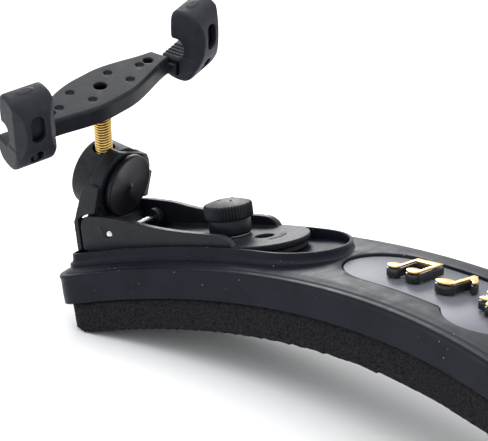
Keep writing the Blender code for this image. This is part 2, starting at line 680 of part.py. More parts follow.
def make_leg():
    shelf = -0.25 * MM
    half = LEG_HALF_WIDTH
    outer_low = foot_to_leg(SKIRT_OUTER_X, CHEEK_BOTTOM)
    outer_high = foot_to_leg(SKIRT_OUTER_X, 4.7 * MM)
    inner_low = foot_to_leg(SKIRT_INNER_X, CHEEK_BOTTOM)
    inner_high = foot_to_leg(SKIRT_INNER_X, 5.2 * MM)
    skirt = prism([outer_low, outer_high, inner_high, inner_low], "Y",
                  -FOOT_HALF_WIDTH, FOOT_HALF_WIDTH)
    web = prism([outer_high, (CUP_BACK_X, shelf), (CUP_FRONT_X, shelf),
                 (-2.6 * MM, -0.9 * MM), (-2.4 * MM, -2.3 * MM),
                 foot_to_leg(SKIRT_INNER_X, -0.6 * MM),
                 foot_to_leg(SKIRT_OUTER_X, -0.6 * MM)], "Y", -half, half)
    wall_outline = cup_outline(CUP_RADIUS, NEAR_HORN_ANGLE, FAR_HORN_ANGLE)
    floor = [(CUP_RADIUS * 0.92, shelf), (-CUP_RADIUS * 0.92, shelf)]
    lower = [point for point in wall_outline if point[1] > DRUM_Z - 5.5 * MM]
    split = next(i for i in range(len(lower) - 1)
                 if lower[i][0] > 0 > lower[i + 1][0] and lower[i][1] < DRUM_Z)
    silhouette = lower[:split + 1] + floor + lower[split + 1:]
    shell = prism(silhouette, "X", CUP_BACK_X, CUP_FRONT_X)
    drum_room = turned([(CUP_BACK_X - 5 * MM, DRUM_RADIUS + GAP),
                        (CUP_WALL_BACK_X, DRUM_RADIUS + GAP)], "X", 32, (0.0, DRUM_Z))
    front_recess = turned([(CUP_FRONT_X - 0.5 * MM, DRUM_RADIUS - 0.2 * MM),
                           (0.0, DRUM_RADIUS - 0.2 * MM)], "X", 32, (0.0, DRUM_Z))
    axle_hole = turned([(CUP_BACK_X, AXLE_RADIUS + 0.1 * MM), (0.0, AXLE_RADIUS + 0.1 * MM)],
                       "X", 20, (0.0, DRUM_Z))
    knuckles = []
    for sign in (-1, 1):
        low, high = sorted((sign * KNUCKLE_INNER_Y, sign * half))
        ear = [(-3.2 * MM, -0.4 * MM), (-3.2 * MM, -2.3 * MM)]
        ear += arc(KNUCKLE_RADIUS, radians(-100), radians(110), 12)
        knuckles.append(prism(ear, "Y", low, high))
    ears = []
    for sign in (-1, 1):
        low, high = sorted((sign * EAR_INNER_Y, sign * EAR_OUTER_Y))
        ears.append(prism([outer_high, (-9.7 * MM, 7.1 * MM), (-8.4 * MM, 8.8 * MM),
                           (-7.0 * MM, 9.4 * MM), (CUP_FRONT_X, 9.4 * MM),
                           (CUP_FRONT_X, 3.0 * MM), foot_to_leg(-6.4 * MM, 6.25 * MM),
                           foot_to_leg(-7.8 * MM, 5.75 * MM), inner_high], "Y", low, high))
    body = union(skirt, [web, shell] + knuckles + ears)
    span = FOOT_HALF_WIDTH + 1 * MM
    pin_hole = turned([(-span, PIN_RADIUS + PIN_CLEARANCE), (span, PIN_RADIUS + PIN_CLEARANCE)],
                      "Y", 16)
    return cut(body, [drum_room, axle_hole, front_recess, pin_hole])


def make_drum():
    body = turned([(DRUM_BACK_X, DRUM_RADIUS - 0.6 * MM), (DRUM_BACK_X + 0.6 * MM, DRUM_RADIUS),
                   (DRUM_FRONT_X, DRUM_RADIUS)], "X", 36)
    axle_hole = turned([(DRUM_FRONT_X - 1.0 * MM, AXLE_RADIUS + 0.25 * MM),
                        (0.0, AXLE_RADIUS + 0.25 * MM)], "X", 20)
    bush_hole = turned([(BUSH_BOTTOM - GAP, BUSH_RADIUS + GAP), (BUSH_TOP, BUSH_RADIUS + GAP)],
                       "Z", 20)
    stud_hole = turned([(-12 * MM, STUD_HOLE_RADIUS), (12 * MM, STUD_HOLE_RADIUS)], "Z", 20)
    slant = Matrix.Translation((STUD_X, 0, 0)) @ Matrix.Rotation(FORK_TILT, 4, "X")
    for tool in (bush_hole, stud_hole):
        bmesh.ops.transform(tool, matrix=slant, verts=tool.verts)
    return cut(body, [axle_hole, bush_hole, stud_hole])


def make_axle():
    """Axle with its turned cap, one piece."""
    return turned([(DRUM_FRONT_X - 0.7 * MM, AXLE_RADIUS), (CAP_BACK_X, AXLE_RADIUS),
                   (CAP_BACK_X + 0.01 * MM, CAP_RADIUS), (CAP_FRONT_X - 0.35 * MM, CAP_RADIUS),
                   (CAP_FRONT_X, CAP_RADIUS - 0.35 * MM),
                   (CAP_FRONT_X - 0.15 * MM, CAP_RADIUS - 0.7 * MM),
                   (CAP_FRONT_X - 0.1 * MM, 0.9 * MM), (CAP_FRONT_X + 0.3 * MM, 0.5 * MM)],
                  "X", 36)


def make_bush():
    body = turned([(BUSH_BOTTOM, BUSH_RADIUS), (BUSH_TOP - 0.2 * MM, BUSH_RADIUS)], count=20)
    bore = turned([(BUSH_BOTTOM - 1 * MM, STUD_RADIUS + GAP), (BUSH_TOP + 1 * MM,
                   STUD_RADIUS + GAP)], count=20)
    return cut(body, [bore])


# ---------------------------------------------------------------- fork

def make_stud():
    top = FORK_RISE - 1.5 * MM
    return turned([(STUD_BOTTOM, STUD_RADIUS - 0.5 * MM), (STUD_BOTTOM + 0.5 * MM, STUD_RADIUS),
                   (top, STUD_RADIUS)], count=20)


def bar_outline(inset):
    """Leaf outline: full in the middle, narrow where it meets the hooks."""
    near = []
    steps = 22
    for i in range(steps + 1):
        along = -BAR_HALF_LENGTH + 2 * BAR_HALF_LENGTH * i / steps
        ratio = abs(along) / BAR_HALF_LENGTH
        swell = 0.5 + 0.5 * cos(pi * min(max(ratio * 1.12 - 0.1, 0.0), 1.0))
        near.append((BAR_WAIST + (BAR_HALF_WIDTH - BAR_WAIST) * swell - inset, along))
    return near + [(-x, y) for x, y in reversed(near)]


def claw_frame(sign):
    return Matrix.Translation((CLAW_X, sign * CLAW_STATION, 0)) @ Matrix.Rotation(
        sign * CLAW_TURN, 4, "Z")


def grown(outline, distance):
    """Outline moved outwards by a distance; its points run clockwise seen from +Y."""
    result = []
    count = len(outline)
    area = sum(outline[i][0] * outline[(i + 1) % count][1]
               - outline[(i + 1) % count][0] * outline[i][1] for i in range(count))
    turn = 1 if area > 0 else -1
    for i in range(count):
        before = Vector(outline[i]) - Vector(outline[i - 1])
        after = Vector(outline[(i + 1) % count]) - Vector(outline[i])
        normals = [Vector((v.y, -v.x)).normalized() * turn for v in (before, after)]
        middle = (normals[0] + normals[1]).normalized()
        reach = distance / max(middle.dot(normals[0]), 0.5)
        result.append(tuple(Vector(outline[i]) + middle * reach))
    return result


def hook_solids(grow):
    """The hook inside a boot and the neck that joins it to the bar, for the +Y end."""
    hook = prism(grown(millimetres(HOOK_PROFILE), grow), "Y",
                 -HOOK_HALF_WIDTH - grow, HOOK_HALF_WIDTH + grow)
    neck = box((-1.3 * MM - grow, -CLAW_HALF_WIDTH - 1 * MM, -4.0 * MM - grow),
               (2.0 * MM + grow, 0.0, -1.2 * MM + grow))
    return [hook, neck]


def placed(bm, frame, sign):
    if sign < 0:
        bmesh.ops.transform(bm, matrix=MIRROR_Y, verts=bm.verts)
        bmesh.ops.reverse_faces(bm, faces=bm.faces)
    bmesh.ops.transform(bm, matrix=frame, verts=bm.verts)
    return bm


def make_fork():
    levels = [(-BAR_THICKNESS, 0.5 * MM), (-BAR_THICKNESS + 0.5 * MM, 0.0),
              (-BAR_CHAMFER, 0.0), (0.0, BAR_CHAMFER)]
    body = skin_loops([[(x, y, z) for x, y in bar_outline(inset)] for z, inset in levels])
    inside = -CLAW_HALF_WIDTH - BOOT_GAP
    ends = [placed(box((-25 * MM, inside, -10 * MM), (25 * MM, 25 * MM, 10 * MM)),
                   claw_frame(sign), sign) for sign in (-1, 1)]
    body = cut(body, ends)
    hooks = []
    for sign in (-1, 1):
        for solid in hook_solids(0.0):
            hooks.append(placed(solid, claw_frame(sign), sign))
    body = union(body, hooks)
    cutters = [turned([(-BAR_THICKNESS - 1 * MM, STUD_RADIUS + 0.2 * MM),
                       (-1.2 * MM, STUD_RADIUS + 0.2 * MM)], count=20)]
    for x, y, radius in BAR_HOLES:
        cutters.append(turned([(-8 * MM, radius * MM), (2 * MM, radius * MM)], count=16,
                              centre=(x * MM, y * MM)))
    for x, y in DIMPLES:
        cutters.append(turned([(-0.7 * MM, 0.55 * MM), (0.3 * MM, 1.15 * MM)], count=12,
                              centre=(x * MM, y * MM)))
    body = cut(body, cutters)
    return mapped(body, lambda point: point + Vector((0, 0, FORK_RISE)))


def make_boot(sign):
    """Rubber boot round a hook, with two windows in its back."""
    half = CLAW_HALF_WIDTH
    profile = millimetres(BOOT_PROFILE)
    inner = grown(profile, -0.5 * MM)
    body = skin_loops([[(x, y, z) for x, z in outline] for y, outline in (
        (-half, inner), (-half + 0.55 * MM, profile), (half - 0.55 * MM, profile),
        (half, inner))])
    slots = []
    for low, high in ((2.6, 8.0), (-3.4, -0.6)):
        outline = arc(1.25 * MM, 0, pi, 6, (0.0, high * MM - 1.25 * MM))
        outline += arc(1.25 * MM, pi, 2 * pi, 6, (0.0, low * MM + 1.25 * MM))
        slots.append(prism(outline, "X", 4.6 * MM, 10 * MM))
    body = cut(body, slots + hook_solids(BOOT_GAP))
    body = placed(body, claw_frame(sign), sign)
    return mapped(body, lambda point: point + Vector((0, 0, FORK_RISE)))


# ---------------------------------------------------------------- assembly

def build_side(side):
    mirrored = side == "right"
    foot = add_empty(side + "_foot_frame", FOOT, side)
    screw = add_empty(side + "_screw_axis", SCREW, side)
    pin = add_empty(side + "_pin_axis", LEG, side)
    drum = add_empty(side + "_drum_axis", DRUM, side)
    stud = add_empty(side + "_stud_axis", STUD, side)
    pin_station = add_empty(side + "_pin_station",
                            FOOT @ Matrix.Translation((0, 0, PIN_Z)), side)
    ends = {"near": -1, "far": 1}
    nodes = [
        ("foot", make_foot(), "nylon", foot),
        ("slide_pad", make_slide_pad(), "pad_rubber", foot),
        ("hinge_pin", make_pin(), "steel", pin_station),
        ("floor_insert", make_insert(), "brass", screw),
        ("thumb_knob", make_knob(), "nylon", screw),
        ("thumb_shank", make_shank(), "steel", screw),
        ("thumb_washer", make_washer(), "steel", screw),
        ("leg", make_leg(), "nylon", pin),
        ("drum", make_drum(), "nylon", drum),
        ("drum_axle", make_axle(), "cap_plastic", drum),
        ("stud_bush", make_bush(), "brass", stud),
        ("fork_stud", make_stud(), "brass", stud),
        ("fork_bar", make_fork(), "nylon", stud),
    ]
    for end, sign in ends.items():
        nodes.append((end + "_boot", make_boot(sign), "rubber", stud))
    for name, bm, finish, parent in nodes:
        add_node(side + "_" + name, bm, finish, parent, mirrored)


def main():
    for item in list(bpy.data.objects):
        bpy.data.objects.remove(item)
    add_node("base_shell", make_shell(), "shell_plastic")
    add_node("foam_pad", make_foam(), "foam")
    add_node("name_plate", make_name_plate(), "plate_gloss")
    plate_top = BASE_TOP - RECESS_DEPTH + GAP + PLATE_THICKNESS
    low = plate_top + GAP
    high = low + ORNAMENT_HEIGHT
    face = high + 0.25 * MM
    for number, (place, outlines) in enumerate(ornament_outlines(), 1):
        add_node("ornament_%d" % number, make_ornament(place, outlines, low, high, 1.0),
                 "ornament_black")
        add_node("ornament_face_%d" % number,
                 make_ornament(place, outlines, face, face + FACE_THICKNESS, 0.94),
                 "gold_foil")
    for side in ("left", "right"):
        build_side(side)


main()
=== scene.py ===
import json
from math import asin, cos, pi, radians, sin, sqrt

import bmesh
import bpy
from mathutils import Matrix, Vector, noise


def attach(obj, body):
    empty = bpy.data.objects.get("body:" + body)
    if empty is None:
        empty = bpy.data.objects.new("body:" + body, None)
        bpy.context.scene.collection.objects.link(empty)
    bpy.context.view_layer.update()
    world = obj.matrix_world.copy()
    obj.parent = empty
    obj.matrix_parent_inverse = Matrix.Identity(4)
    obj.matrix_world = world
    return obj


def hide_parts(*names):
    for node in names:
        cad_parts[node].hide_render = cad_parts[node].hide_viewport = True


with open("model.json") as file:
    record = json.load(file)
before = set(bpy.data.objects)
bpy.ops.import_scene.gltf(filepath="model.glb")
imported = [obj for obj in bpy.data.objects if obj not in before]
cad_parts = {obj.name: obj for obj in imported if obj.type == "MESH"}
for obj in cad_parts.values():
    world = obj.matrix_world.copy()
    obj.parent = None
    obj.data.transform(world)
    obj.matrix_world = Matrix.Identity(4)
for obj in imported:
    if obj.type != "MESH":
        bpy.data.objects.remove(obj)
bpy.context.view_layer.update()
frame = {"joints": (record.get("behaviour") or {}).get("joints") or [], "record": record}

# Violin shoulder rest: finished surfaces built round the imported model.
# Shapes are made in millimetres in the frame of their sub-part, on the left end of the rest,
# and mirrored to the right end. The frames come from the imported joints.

MM = 0.001

# Camera and light.
CAMERA_PLACE = (195.84, -180.41, 135.43)
CAMERA_TURN = (71.87, -3.09, 55.28)
CAMERA_LENS = 116.51

WORLD_STRENGTH = 1.2
LIGHTS = [
    ("key", (-0.25, -0.55, 0.9), (-0.05, 0.0, 0.02), 0.7, 2.6),
    ("top", (-0.1, 0.2, 1.2), (-0.05, 0.0, 0.0), 1.2, 4.0),
    ("rim", (-0.9, 0.5, 0.5), (-0.08, 0.0, 0.04), 0.4, 4.0),
]

# Base.
ARCH_RADIUS = 365.0
BOW_RADIUS = 205.0
HALF_LENGTH = 114.5
HALF_WIDTH = 17.0
BASE_CORNER = 6.0
CROWN_Y = 21.759
FLAT_HALF_SPAN = 107.5
SKIRT_BOTTOM = -10.0
BASE_TOP = -2.0
TOP_LEAN = 0.045
LEAN_START = -3.6
LEAN_FULL = -2.4
SHELL_WALL = 2.2
SHELL_ROOF = -4.6
END_BLOCK = 9.0
EDGE = [
    (0.0, -10.0), (0.05, -9.0), (0.1, -8.0), (0.33, -5.6), (0.43, -4.75), (0.36, -4.45), (0.25, -4.05),
    (0.38, -3.65), (0.75, -3.35), (1.1, -3.35), (1.5, -3.4), (1.75, -3.2), (2.1, -2.85), (2.6, -2.6),
    (3.4, -2.3), (5.0, -2.1), (9.5, -2.0),
]
FOAM_INSET = 0.9
FOAM_END_INSET = 2.0
FOAM_END_SPREAD = 1.0
FOAM_THICKNESS = 7.0
FOAM_VOXEL = 0.56
FOAM_BUMP = 0.05
FOAM_SINK = 0.02
FOAM_BUMP_SCALE = 1.3
GAP = 0.3

# Name plate.
CARTOUCHE_HALF_LENGTH = 42.0
CARTOUCHE_HALF_WIDTH = 8.85
CARTOUCHE_SHOULDER = 13.0
MEDALLION_RADIUS = 12.4
RECESS_DEPTH = 1.4
PLATE_THICKNESS = 0.6
ORNAMENT_HEIGHT = 1.7
FACE_THICKNESS = 0.4
ORNAMENT_PITCH = 12.0

# Foot, pocket and hinge pin, in the foot's frame.
FOOT_STATION = 76.0
FOOT_HALF_WIDTH = 10.0
PLATE_START_X = 4.2
PLATE_END_X = 45.0
FOOT_PLATE = 1.4
CHEEK_THICKNESS = 1.7
CHEEK_BOTTOM = -2.0
SCREW_X = 26.3
SPARE_HOLE_X = 35.05
SPARE_HOLE_RADIUS = 2.1
SCREW_HOLE_RADIUS = 2.35
PAD_RADIUS = 9.0
PAD_CENTRE_X = 35.4
PAD_NECK_X = 33.7
PAD_START_X = 31.0
PAD_THICKNESS = 0.9
POCKET_HALF_WIDTH = 10.7
POCKET_INNER_END = 44.8
POCKET_OUTER_END = 110.6
POCKET_CORNER = 1.8
POCKET_FLOOR = -2.95
RIM_WIDTH = 0.7
RIM_BOTTOM = -5.2
PIN_Z = 1.9
PIN_RADIUS = 0.8
CHEEK_PROFILE = [
    (-8.0, -2.0), (-8.0, 3.6), (-7.5, 4.9), (-6.5, 5.6), (-5.2, 5.9), (-1.0, 5.8),
    (4.8, 5.2), (9.0, 4.3), (14.0, 3.5), (20.0, 2.9), (27.0, 2.5), (30.5, 2.2),
    (32.3, 1.3), (33.3, 0.0), (33.3, -1.0), (32.6, -2.0),
]

# Leg and drum, in the leg's frame.
LEG_LEAN = radians(21)
LEG_HALF_WIDTH = 8.0
KNUCKLE_RADIUS = 2.3
KNUCKLE_INNER_Y = 5.8
DRUM_Z = 8.2
DRUM_RADIUS = 8.0
DRUM_BACK_X = -14.4
DRUM_FRONT_X = -6.7
CUP_BACK_X = -8.3
CUP_FRONT_X = -5.0
CUP_WALL_BACK_X = -6.4
CUP_RADIUS = 9.0
NEAR_HORN_ANGLE = radians(22)
FAR_HORN_ANGLE = radians(48)
SKIRT_OUTER_X = -9.9
SKIRT_INNER_X = -8.6
EAR_INNER_Y = 8.5
EAR_OUTER_Y = 9.9
AXLE_RADIUS = 2.4
CAP_RADIUS = 7.3
CAP_BACK_X = -4.7
CAP_FRONT_X = -3.5
STUD_X = -10.8
FORK_TILT = radians(17.7)
FORK_YAW = radians(-7)

# Stud and fork, in the stud's frame.
STUD_RADIUS = 2.0
STUD_PITCH = 0.7
ROOT_DEPTH = 0.26
CREST_DEPTH = 0.05
STUD_BOTTOM = -3.0
BUSH_RADIUS = 3.1
BUSH_TOP = 6.2
BUSH_BOTTOM = -2.6
STUD_HOLE_RADIUS = 2.6
FORK_RISE = 24.2
BAR_THICKNESS = 4.4
BAR_HALF_LENGTH = 21.4
BAR_HALF_WIDTH = 6.6
BAR_WAIST = 2.5
CLAW_X = 1.5
CLAW_STATION = 23.75
CLAW_TURN = radians(12.5)
CLAW_HALF_WIDTH = 4.75
HOOK_HALF_WIDTH = 2.8
BOOT_GAP = 0.25
BOOT_PROFILE = [
    (0.3, 4.9), (0.0, 6.5), (0.1, 9.6), (0.6, 11.4), (1.8, 12.2), (4.8, 12.2),
    (6.6, 11.2), (7.7, 9.4), (8.3, 6.6), (8.3, 3.6), (7.8, 0.6), (6.8, -2.0),
    (5.4, -4.4), (3.6, -5.7), (0.9, -5.7), (-1.2, -4.9), (-2.2, -3.2), (-2.4, -1.0),
    (-2.1, 0.1), (1.6, 0.1), (2.6, 0.6), (3.2, 1.6), (3.3, 3.0), (2.8, 4.2), (1.9, 4.8),
]
HOOK_PROFILE = [
    (-0.8, -1.2), (3.4, -1.2), (4.4, -0.6), (4.8, 1.0), (4.9, 3.2), (4.5, 5.2),
    (3.4, 6.2), (1.8, 6.5), (1.8, 9.8), (2.6, 10.6), (4.4, 10.6), (5.7, 9.6),
    (6.5, 7.4), (6.8, 4.2), (6.3, 0.8), (5.4, -1.8), (4.2, -3.6), (3.0, -4.2),
    (0.4, -4.2), (-0.8, -3.4),
]
DIMPLES = [(-2.74, 4.76), (2.74, -4.76), (-2.81, -6.43), (2.81, 6.43), (0.0, 12.0), (0.0, -12.0)]
BAR_HOLES = [(0.0, 0.0, 1.45), (0.0, 14.6, 1.1), (0.0, -14.6, 1.1)]

# Thumb screw, in the screw's frame.
KNOB_BOTTOM = 0.75
COLLAR_RADIUS = 4.75
COLLAR_TOP = 3.9
GRIP_RADIUS = 5.4
GRIP_TOP = 7.1
DOME_TOP = 8.1
SHANK_RADIUS = 2.0
KNURL_COUNT = 48
KNURL_DEPTH = 0.32

NODES = {node: body for body, nodes in frame["record"]["behaviour"]["bodies"].items()
         for node in nodes}


# ---------------------------------------------------------------- frames

def base_frame(station):
    """Frame on the arched line of the base, in millimetres."""
    slope = station / ARCH_RADIUS
    run = ARCH_RADIUS * sin(slope)
    heading = run / BOW_RADIUS
    centre = Vector((BOW_RADIUS * sin(heading), -BOW_RADIUS * (1 - cos(heading)),
                     -ARCH_RADIUS * (1 - cos(slope))))
    turn = Matrix.Rotation(-heading, 4, "Z") @ Matrix.Rotation(slope, 4, "Y")
    return Matrix.Translation(centre) @ turn


FOAM_BOTTOM = SKIRT_BOTTOM - GAP - FOAM_THICKNESS
GROUND = (base_frame(FLAT_HALF_SPAN) @ Vector((0, 0, FOAM_BOTTOM))).z
LIFT = Matrix.Translation((0, CROWN_Y, -GROUND))


def on_base(point):
    """Maps (distance along the base, distance across it, height) onto the arched line."""
    return LIFT @ base_frame(point[0]) @ Vector((0, point[1], point[2]))


def on_plate(point):
    """The same, leaning with the top of the base, whose far side is a little higher."""
    return on_base((point[0], point[1], point[2] + TOP_LEAN * point[1]))


def on_shell(point):
    """The same, where the lean grows from nothing at the moulded edge to full at the top."""
    share = min(max((point[2] - LEAN_START) / (LEAN_FULL - LEAN_START), 0.0), 1.0)
    return on_base((point[0], point[1], point[2] + TOP_LEAN * point[1] * share))


def joint(name):
    return next(entry for entry in frame["joints"] if entry["name"] == name)


def axes_matrix(origin, x_axis, y_axis, z_axis):
    """Matrix with these unit axes; the origin is in metres and the matrix in millimetres."""
    matrix = Matrix((x_axis, y_axis, z_axis)).transposed().to_4x4()
    matrix.translation = Vector(origin) / MM
    return matrix


def side_frames(side):
    """The frames of one end of the rest, from its joints."""
    hand = 1 if side == "left" else -1
    fold = joint(side + "_leg_fold")
    swivel = joint(side + "_drum_swivel")
    turn = joint(side + "_fork_turn")
    knob = joint(side + "_knob_turn")
    across = Vector(fold["axis"]).normalized()
    up = Vector(knob["axis"]).normalized()
    along = across.cross(up)
    pin = Vector(fold["pos_m"])
    lean = (hand * Vector(swivel["axis"])).normalized()
    stud_up = Vector(turn["axis"]).normalized()
    yaw = hand * FORK_YAW
    stud_x = cos(yaw) * lean + sin(yaw) * stud_up.cross(lean)
    return {
        "foot": axes_matrix(pin - up * PIN_Z * MM, along, across, up),
        "pin": axes_matrix(pin, along, across, up),
        "leg": axes_matrix(pin, lean, across, lean.cross(across)),
        "drum": axes_matrix(swivel["pos_m"], lean, across, lean.cross(across)),
        "stud": axes_matrix(turn["pos_m"], stud_x, stud_up.cross(stud_x), stud_up),
        "screw": axes_matrix(knob["pos_m"], along, across, up),
    }


FRAMES = {side: side_frames(side) for side in ("left", "right")}


# ---------------------------------------------------------------- mesh tools

def finish_bmesh(bm):
    bmesh.ops.remove_doubles(bm, verts=bm.verts, dist=1e-4)
    bmesh.ops.recalc_face_normals(bm, faces=bm.faces)
    return bm


def skin_loops(loops, closed=True):
    """Closed solid through a list of loops with equal point counts."""
    bm = bmesh.new()
    rings = [[bm.verts.new(point) for point in loop] for loop in loops]
    count = len(rings[0])
    for low, high in zip(rings, rings[1:]):
        for i in range(count):
            j = (i + 1) % count
            bm.faces.new((low[i], low[j], high[j], high[i]))
    if closed:
        bm.faces.new(list(reversed(rings[0])))
        bm.faces.new(rings[-1])
    return finish_bmesh(bm)


def axis_point(axis, a, b, level):
    return {"X": (level, a, b), "Y": (a, level, b), "Z": (a, b, level)}[axis]


def prism(outline, axis, low, high, bevel=0.0):
    """Outline extruded along an axis, with both rims drawn in by a small bevel."""
    loops = [[axis_point(axis, a, b, level) for a, b in outline] for level in (low, high)]
    if bevel > 0:
        inner = grown(outline, -bevel)
        middle = grown(outline, -0.3 * bevel)
        loops = []
        for level, shape in ((low, inner), (low + 0.3 * bevel, middle), (low + bevel, outline),
                             (high - bevel, outline), (high - 0.3 * bevel, middle),
                             (high, inner)):
            loops.append([axis_point(axis, a, b, level) for a, b in shape])
    return skin_loops(loops)


def arc(radius, start, end, count, centre=(0.0, 0.0)):
    return [(centre[0] + radius * cos(start + (end - start) * i / count),
             centre[1] + radius * sin(start + (end - start) * i / count))
            for i in range(count + 1)]


def circle(radius, count, centre=(0.0, 0.0)):
    return arc(radius, 0, 2 * pi, count, centre)[:-1]


def turned(profile, axis="Z", count=64, centre=(0.0, 0.0)):
    """Solid of revolution from (level, radius) pairs."""
    return skin_loops([[axis_point(axis, a, b, level) for a, b in circle(radius, count, centre)]
                       for level, radius in profile])


def box(low, high):
    outline = [(low[0], low[1]), (high[0], low[1]), (high[0], high[1]), (low[0], high[1])]
    return prism(outline, "Z", low[2], high[2])


def grown(outline, distance):
    """Outline moved outwards by a distance."""
    result = []
    count = len(outline)
    area = sum(outline[i][0] * outline[(i + 1) % count][1]
               - outline[(i + 1) % count][0] * outline[i][1] for i in range(count))
    turn = 1 if area > 0 else -1
    for i in range(count):
        before = Vector(outline[i]) - Vector(outline[i - 1])
        after = Vector(outline[(i + 1) % count]) - Vector(outline[i])
        normals = [Vector((v.y, -v.x)).normalized() * turn for v in (before, after)]
        middle = (normals[0] + normals[1]).normalized()
        reach = distance / max(middle.dot(normals[0]), 0.5)
        result.append(tuple(Vector(outline[i]) + middle * reach))
    return result


def smoothed(points, pieces, closed=False):
    """Curve through the points, each stretch divided into a number of pieces."""
    count = len(points)
    result = []
    for i in range(count if closed else count - 1):
        if closed:
            p0, p1, p2, p3 = (points[(i + k) % count] for k in (-1, 0, 1, 2))
        else:
            p0, p1, p2, p3 = (points[min(max(i + k, 0), count - 1)] for k in (-1, 0, 1, 2))
        for k in range(pieces):
            t = k / pieces
            result.append(tuple(
                0.5 * (2 * b + (c - a) * t + (2 * a - 5 * b + 4 * c - d) * t * t
                       + (3 * b - a - 3 * c + d) * t ** 3)
                for a, b, c, d in zip(p0, p1, p2, p3)))
    if not closed:
        result.append(tuple(points[-1]))
    return result


def scratch_object(bm):
    mesh = bpy.data.meshes.new("scratch")
    bm.to_mesh(mesh)
    bm.free()
    scratch = bpy.data.objects.new("scratch", mesh)
    bpy.context.scene.collection.objects.link(scratch)
    return scratch


def evaluated(item):
    """The object's mesh with its modifiers applied, as a bmesh; the object is removed."""
    depsgraph = bpy.context.evaluated_depsgraph_get()
    mesh = bpy.data.meshes.new_from_object(item.evaluated_get(depsgraph))
    bm = bmesh.new()
    bm.from_mesh(mesh)
    bpy.data.meshes.remove(mesh)
    bpy.data.objects.remove(item)
    return bm


def combine(bm, tools, operation):
    for tool_bm in tools:
        body = scratch_object(bm)
        tool = scratch_object(tool_bm)
        modifier = body.modifiers.new("combine", "BOOLEAN")
        modifier.operation = operation
        modifier.solver = "EXACT"
        modifier.object = tool
        bm = evaluated(body)
        bpy.data.objects.remove(tool)
    return bm


def union(bm, tools):
    return combine(bm, tools, "UNION")


def cut(bm, tools):
    return combine(bm, tools, "DIFFERENCE")


def append(bm, others):
    """Several solids in one mesh."""
    for other in others:
        mesh = bpy.data.meshes.new("scratch")
        other.to_mesh(mesh)
        other.free()
        bm.from_mesh(mesh)
        bpy.data.meshes.remove(mesh)
    return bm


def moulded(bm, voxel, rounds=2, keep=0.4):
    """Remakes the surface with softly rounded edges, as a moulding has."""
    body = scratch_object(bm)
    remesh = body.modifiers.new("remesh", "REMESH")
    remesh.mode = "VOXEL"
    remesh.voxel_size = voxel
    smooth = body.modifiers.new("smooth", "SMOOTH")
    smooth.factor = 0.5
    smooth.iterations = rounds
    if keep < 1:
        decimate = body.modifiers.new("decimate", "DECIMATE")
        decimate.ratio = keep
    return evaluated(body)


def mapped(bm, function):
    for vertex in bm.verts:
        vertex.co = function(vertex.co)
    return bm


def transformed(bm, matrix):
    bmesh.ops.transform(bm, matrix=matrix, verts=bm.verts)
    if matrix.determinant() < 0:
        bmesh.ops.reverse_faces(bm, faces=bm.faces)
    return bm


MIRROR_Y = Matrix.Diagonal((1, -1, 1, 1))


MIRROR_X = Matrix.Diagonal((-1, 1, 1, 1))


def add_piece(name, bm, material, node, matrix=None, sharp=40, keep_bm=False):
    """A finished piece in place of a CAD node, riding on that node's body."""
    mesh = bpy.data.meshes.new(name)
    bm.to_mesh(mesh)
    if not keep_bm:
        bm.free()
    mesh.transform(Matrix.Diagonal((MM, MM, MM, 1)))
    mesh.shade_smooth()
    if sharp:
        mesh.set_sharp_from_angle(angle=radians(sharp))
    mesh.materials.append(material)
    piece = bpy.data.objects.new(name, mesh)
    bpy.context.scene.collection.objects.link(piece)
    if matrix is not None:
        placed = matrix.copy()
        placed.translation = matrix.translation * MM
        piece.matrix_world = placed
    bpy.context.view_layer.update()
    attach(piece, NODES[node])
    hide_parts(node)
    return piece


def add_pair(node, bm, material, frame_name, sharp=40):
    """The piece on the left end and its mirror image on the right end."""
    pieces = []
    for side in ("left", "right"):
        if side == "right":
            transformed(bm, MIRROR_Y)
        pieces.append(add_piece(side + "_" + node + "_finished", bm, material,
                                side + "_" + node, FRAMES[side][frame_name], sharp,
                                keep_bm=side == "left"))
    return pieces


# ---------------------------------------------------------------- materials

def add_noise(nodes, links, coords, scale, detail=3.0):
    noise_node = nodes.new("ShaderNodeTexNoise")
    noise_node.inputs["Scale"].default_value = scale
    noise_node.inputs["Detail"].default_value = detail
    links.new(coords, noise_node.inputs["Vector"])
    return noise_node.outputs["Fac"]


def add_range(nodes, links, value, low, high, start=0.3, end=0.7):
    """Maps a value from one range to another."""
    node = nodes.new("ShaderNodeMapRange")
    for name, number in (("From Min", start), ("From Max", end), ("To Min", low), ("To Max", high)):
        node.inputs[name].default_value = number
    links.new(value, node.inputs["Value"])
    return node.outputs["Result"]


def add_mix(nodes, links, factor, first, second):
    """Mixes two colours; each is a constant or a socket."""
    node = nodes.new("ShaderNodeMix")
    node.data_type = "RGBA"
    links.new(factor, node.inputs[0])
    for socket, colour in ((node.inputs[6], first), (node.inputs[7], second)):
        if isinstance(colour, tuple):
            socket.default_value = (*colour, 1.0)
        else:
            links.new(colour, socket)
    return node.outputs[2]


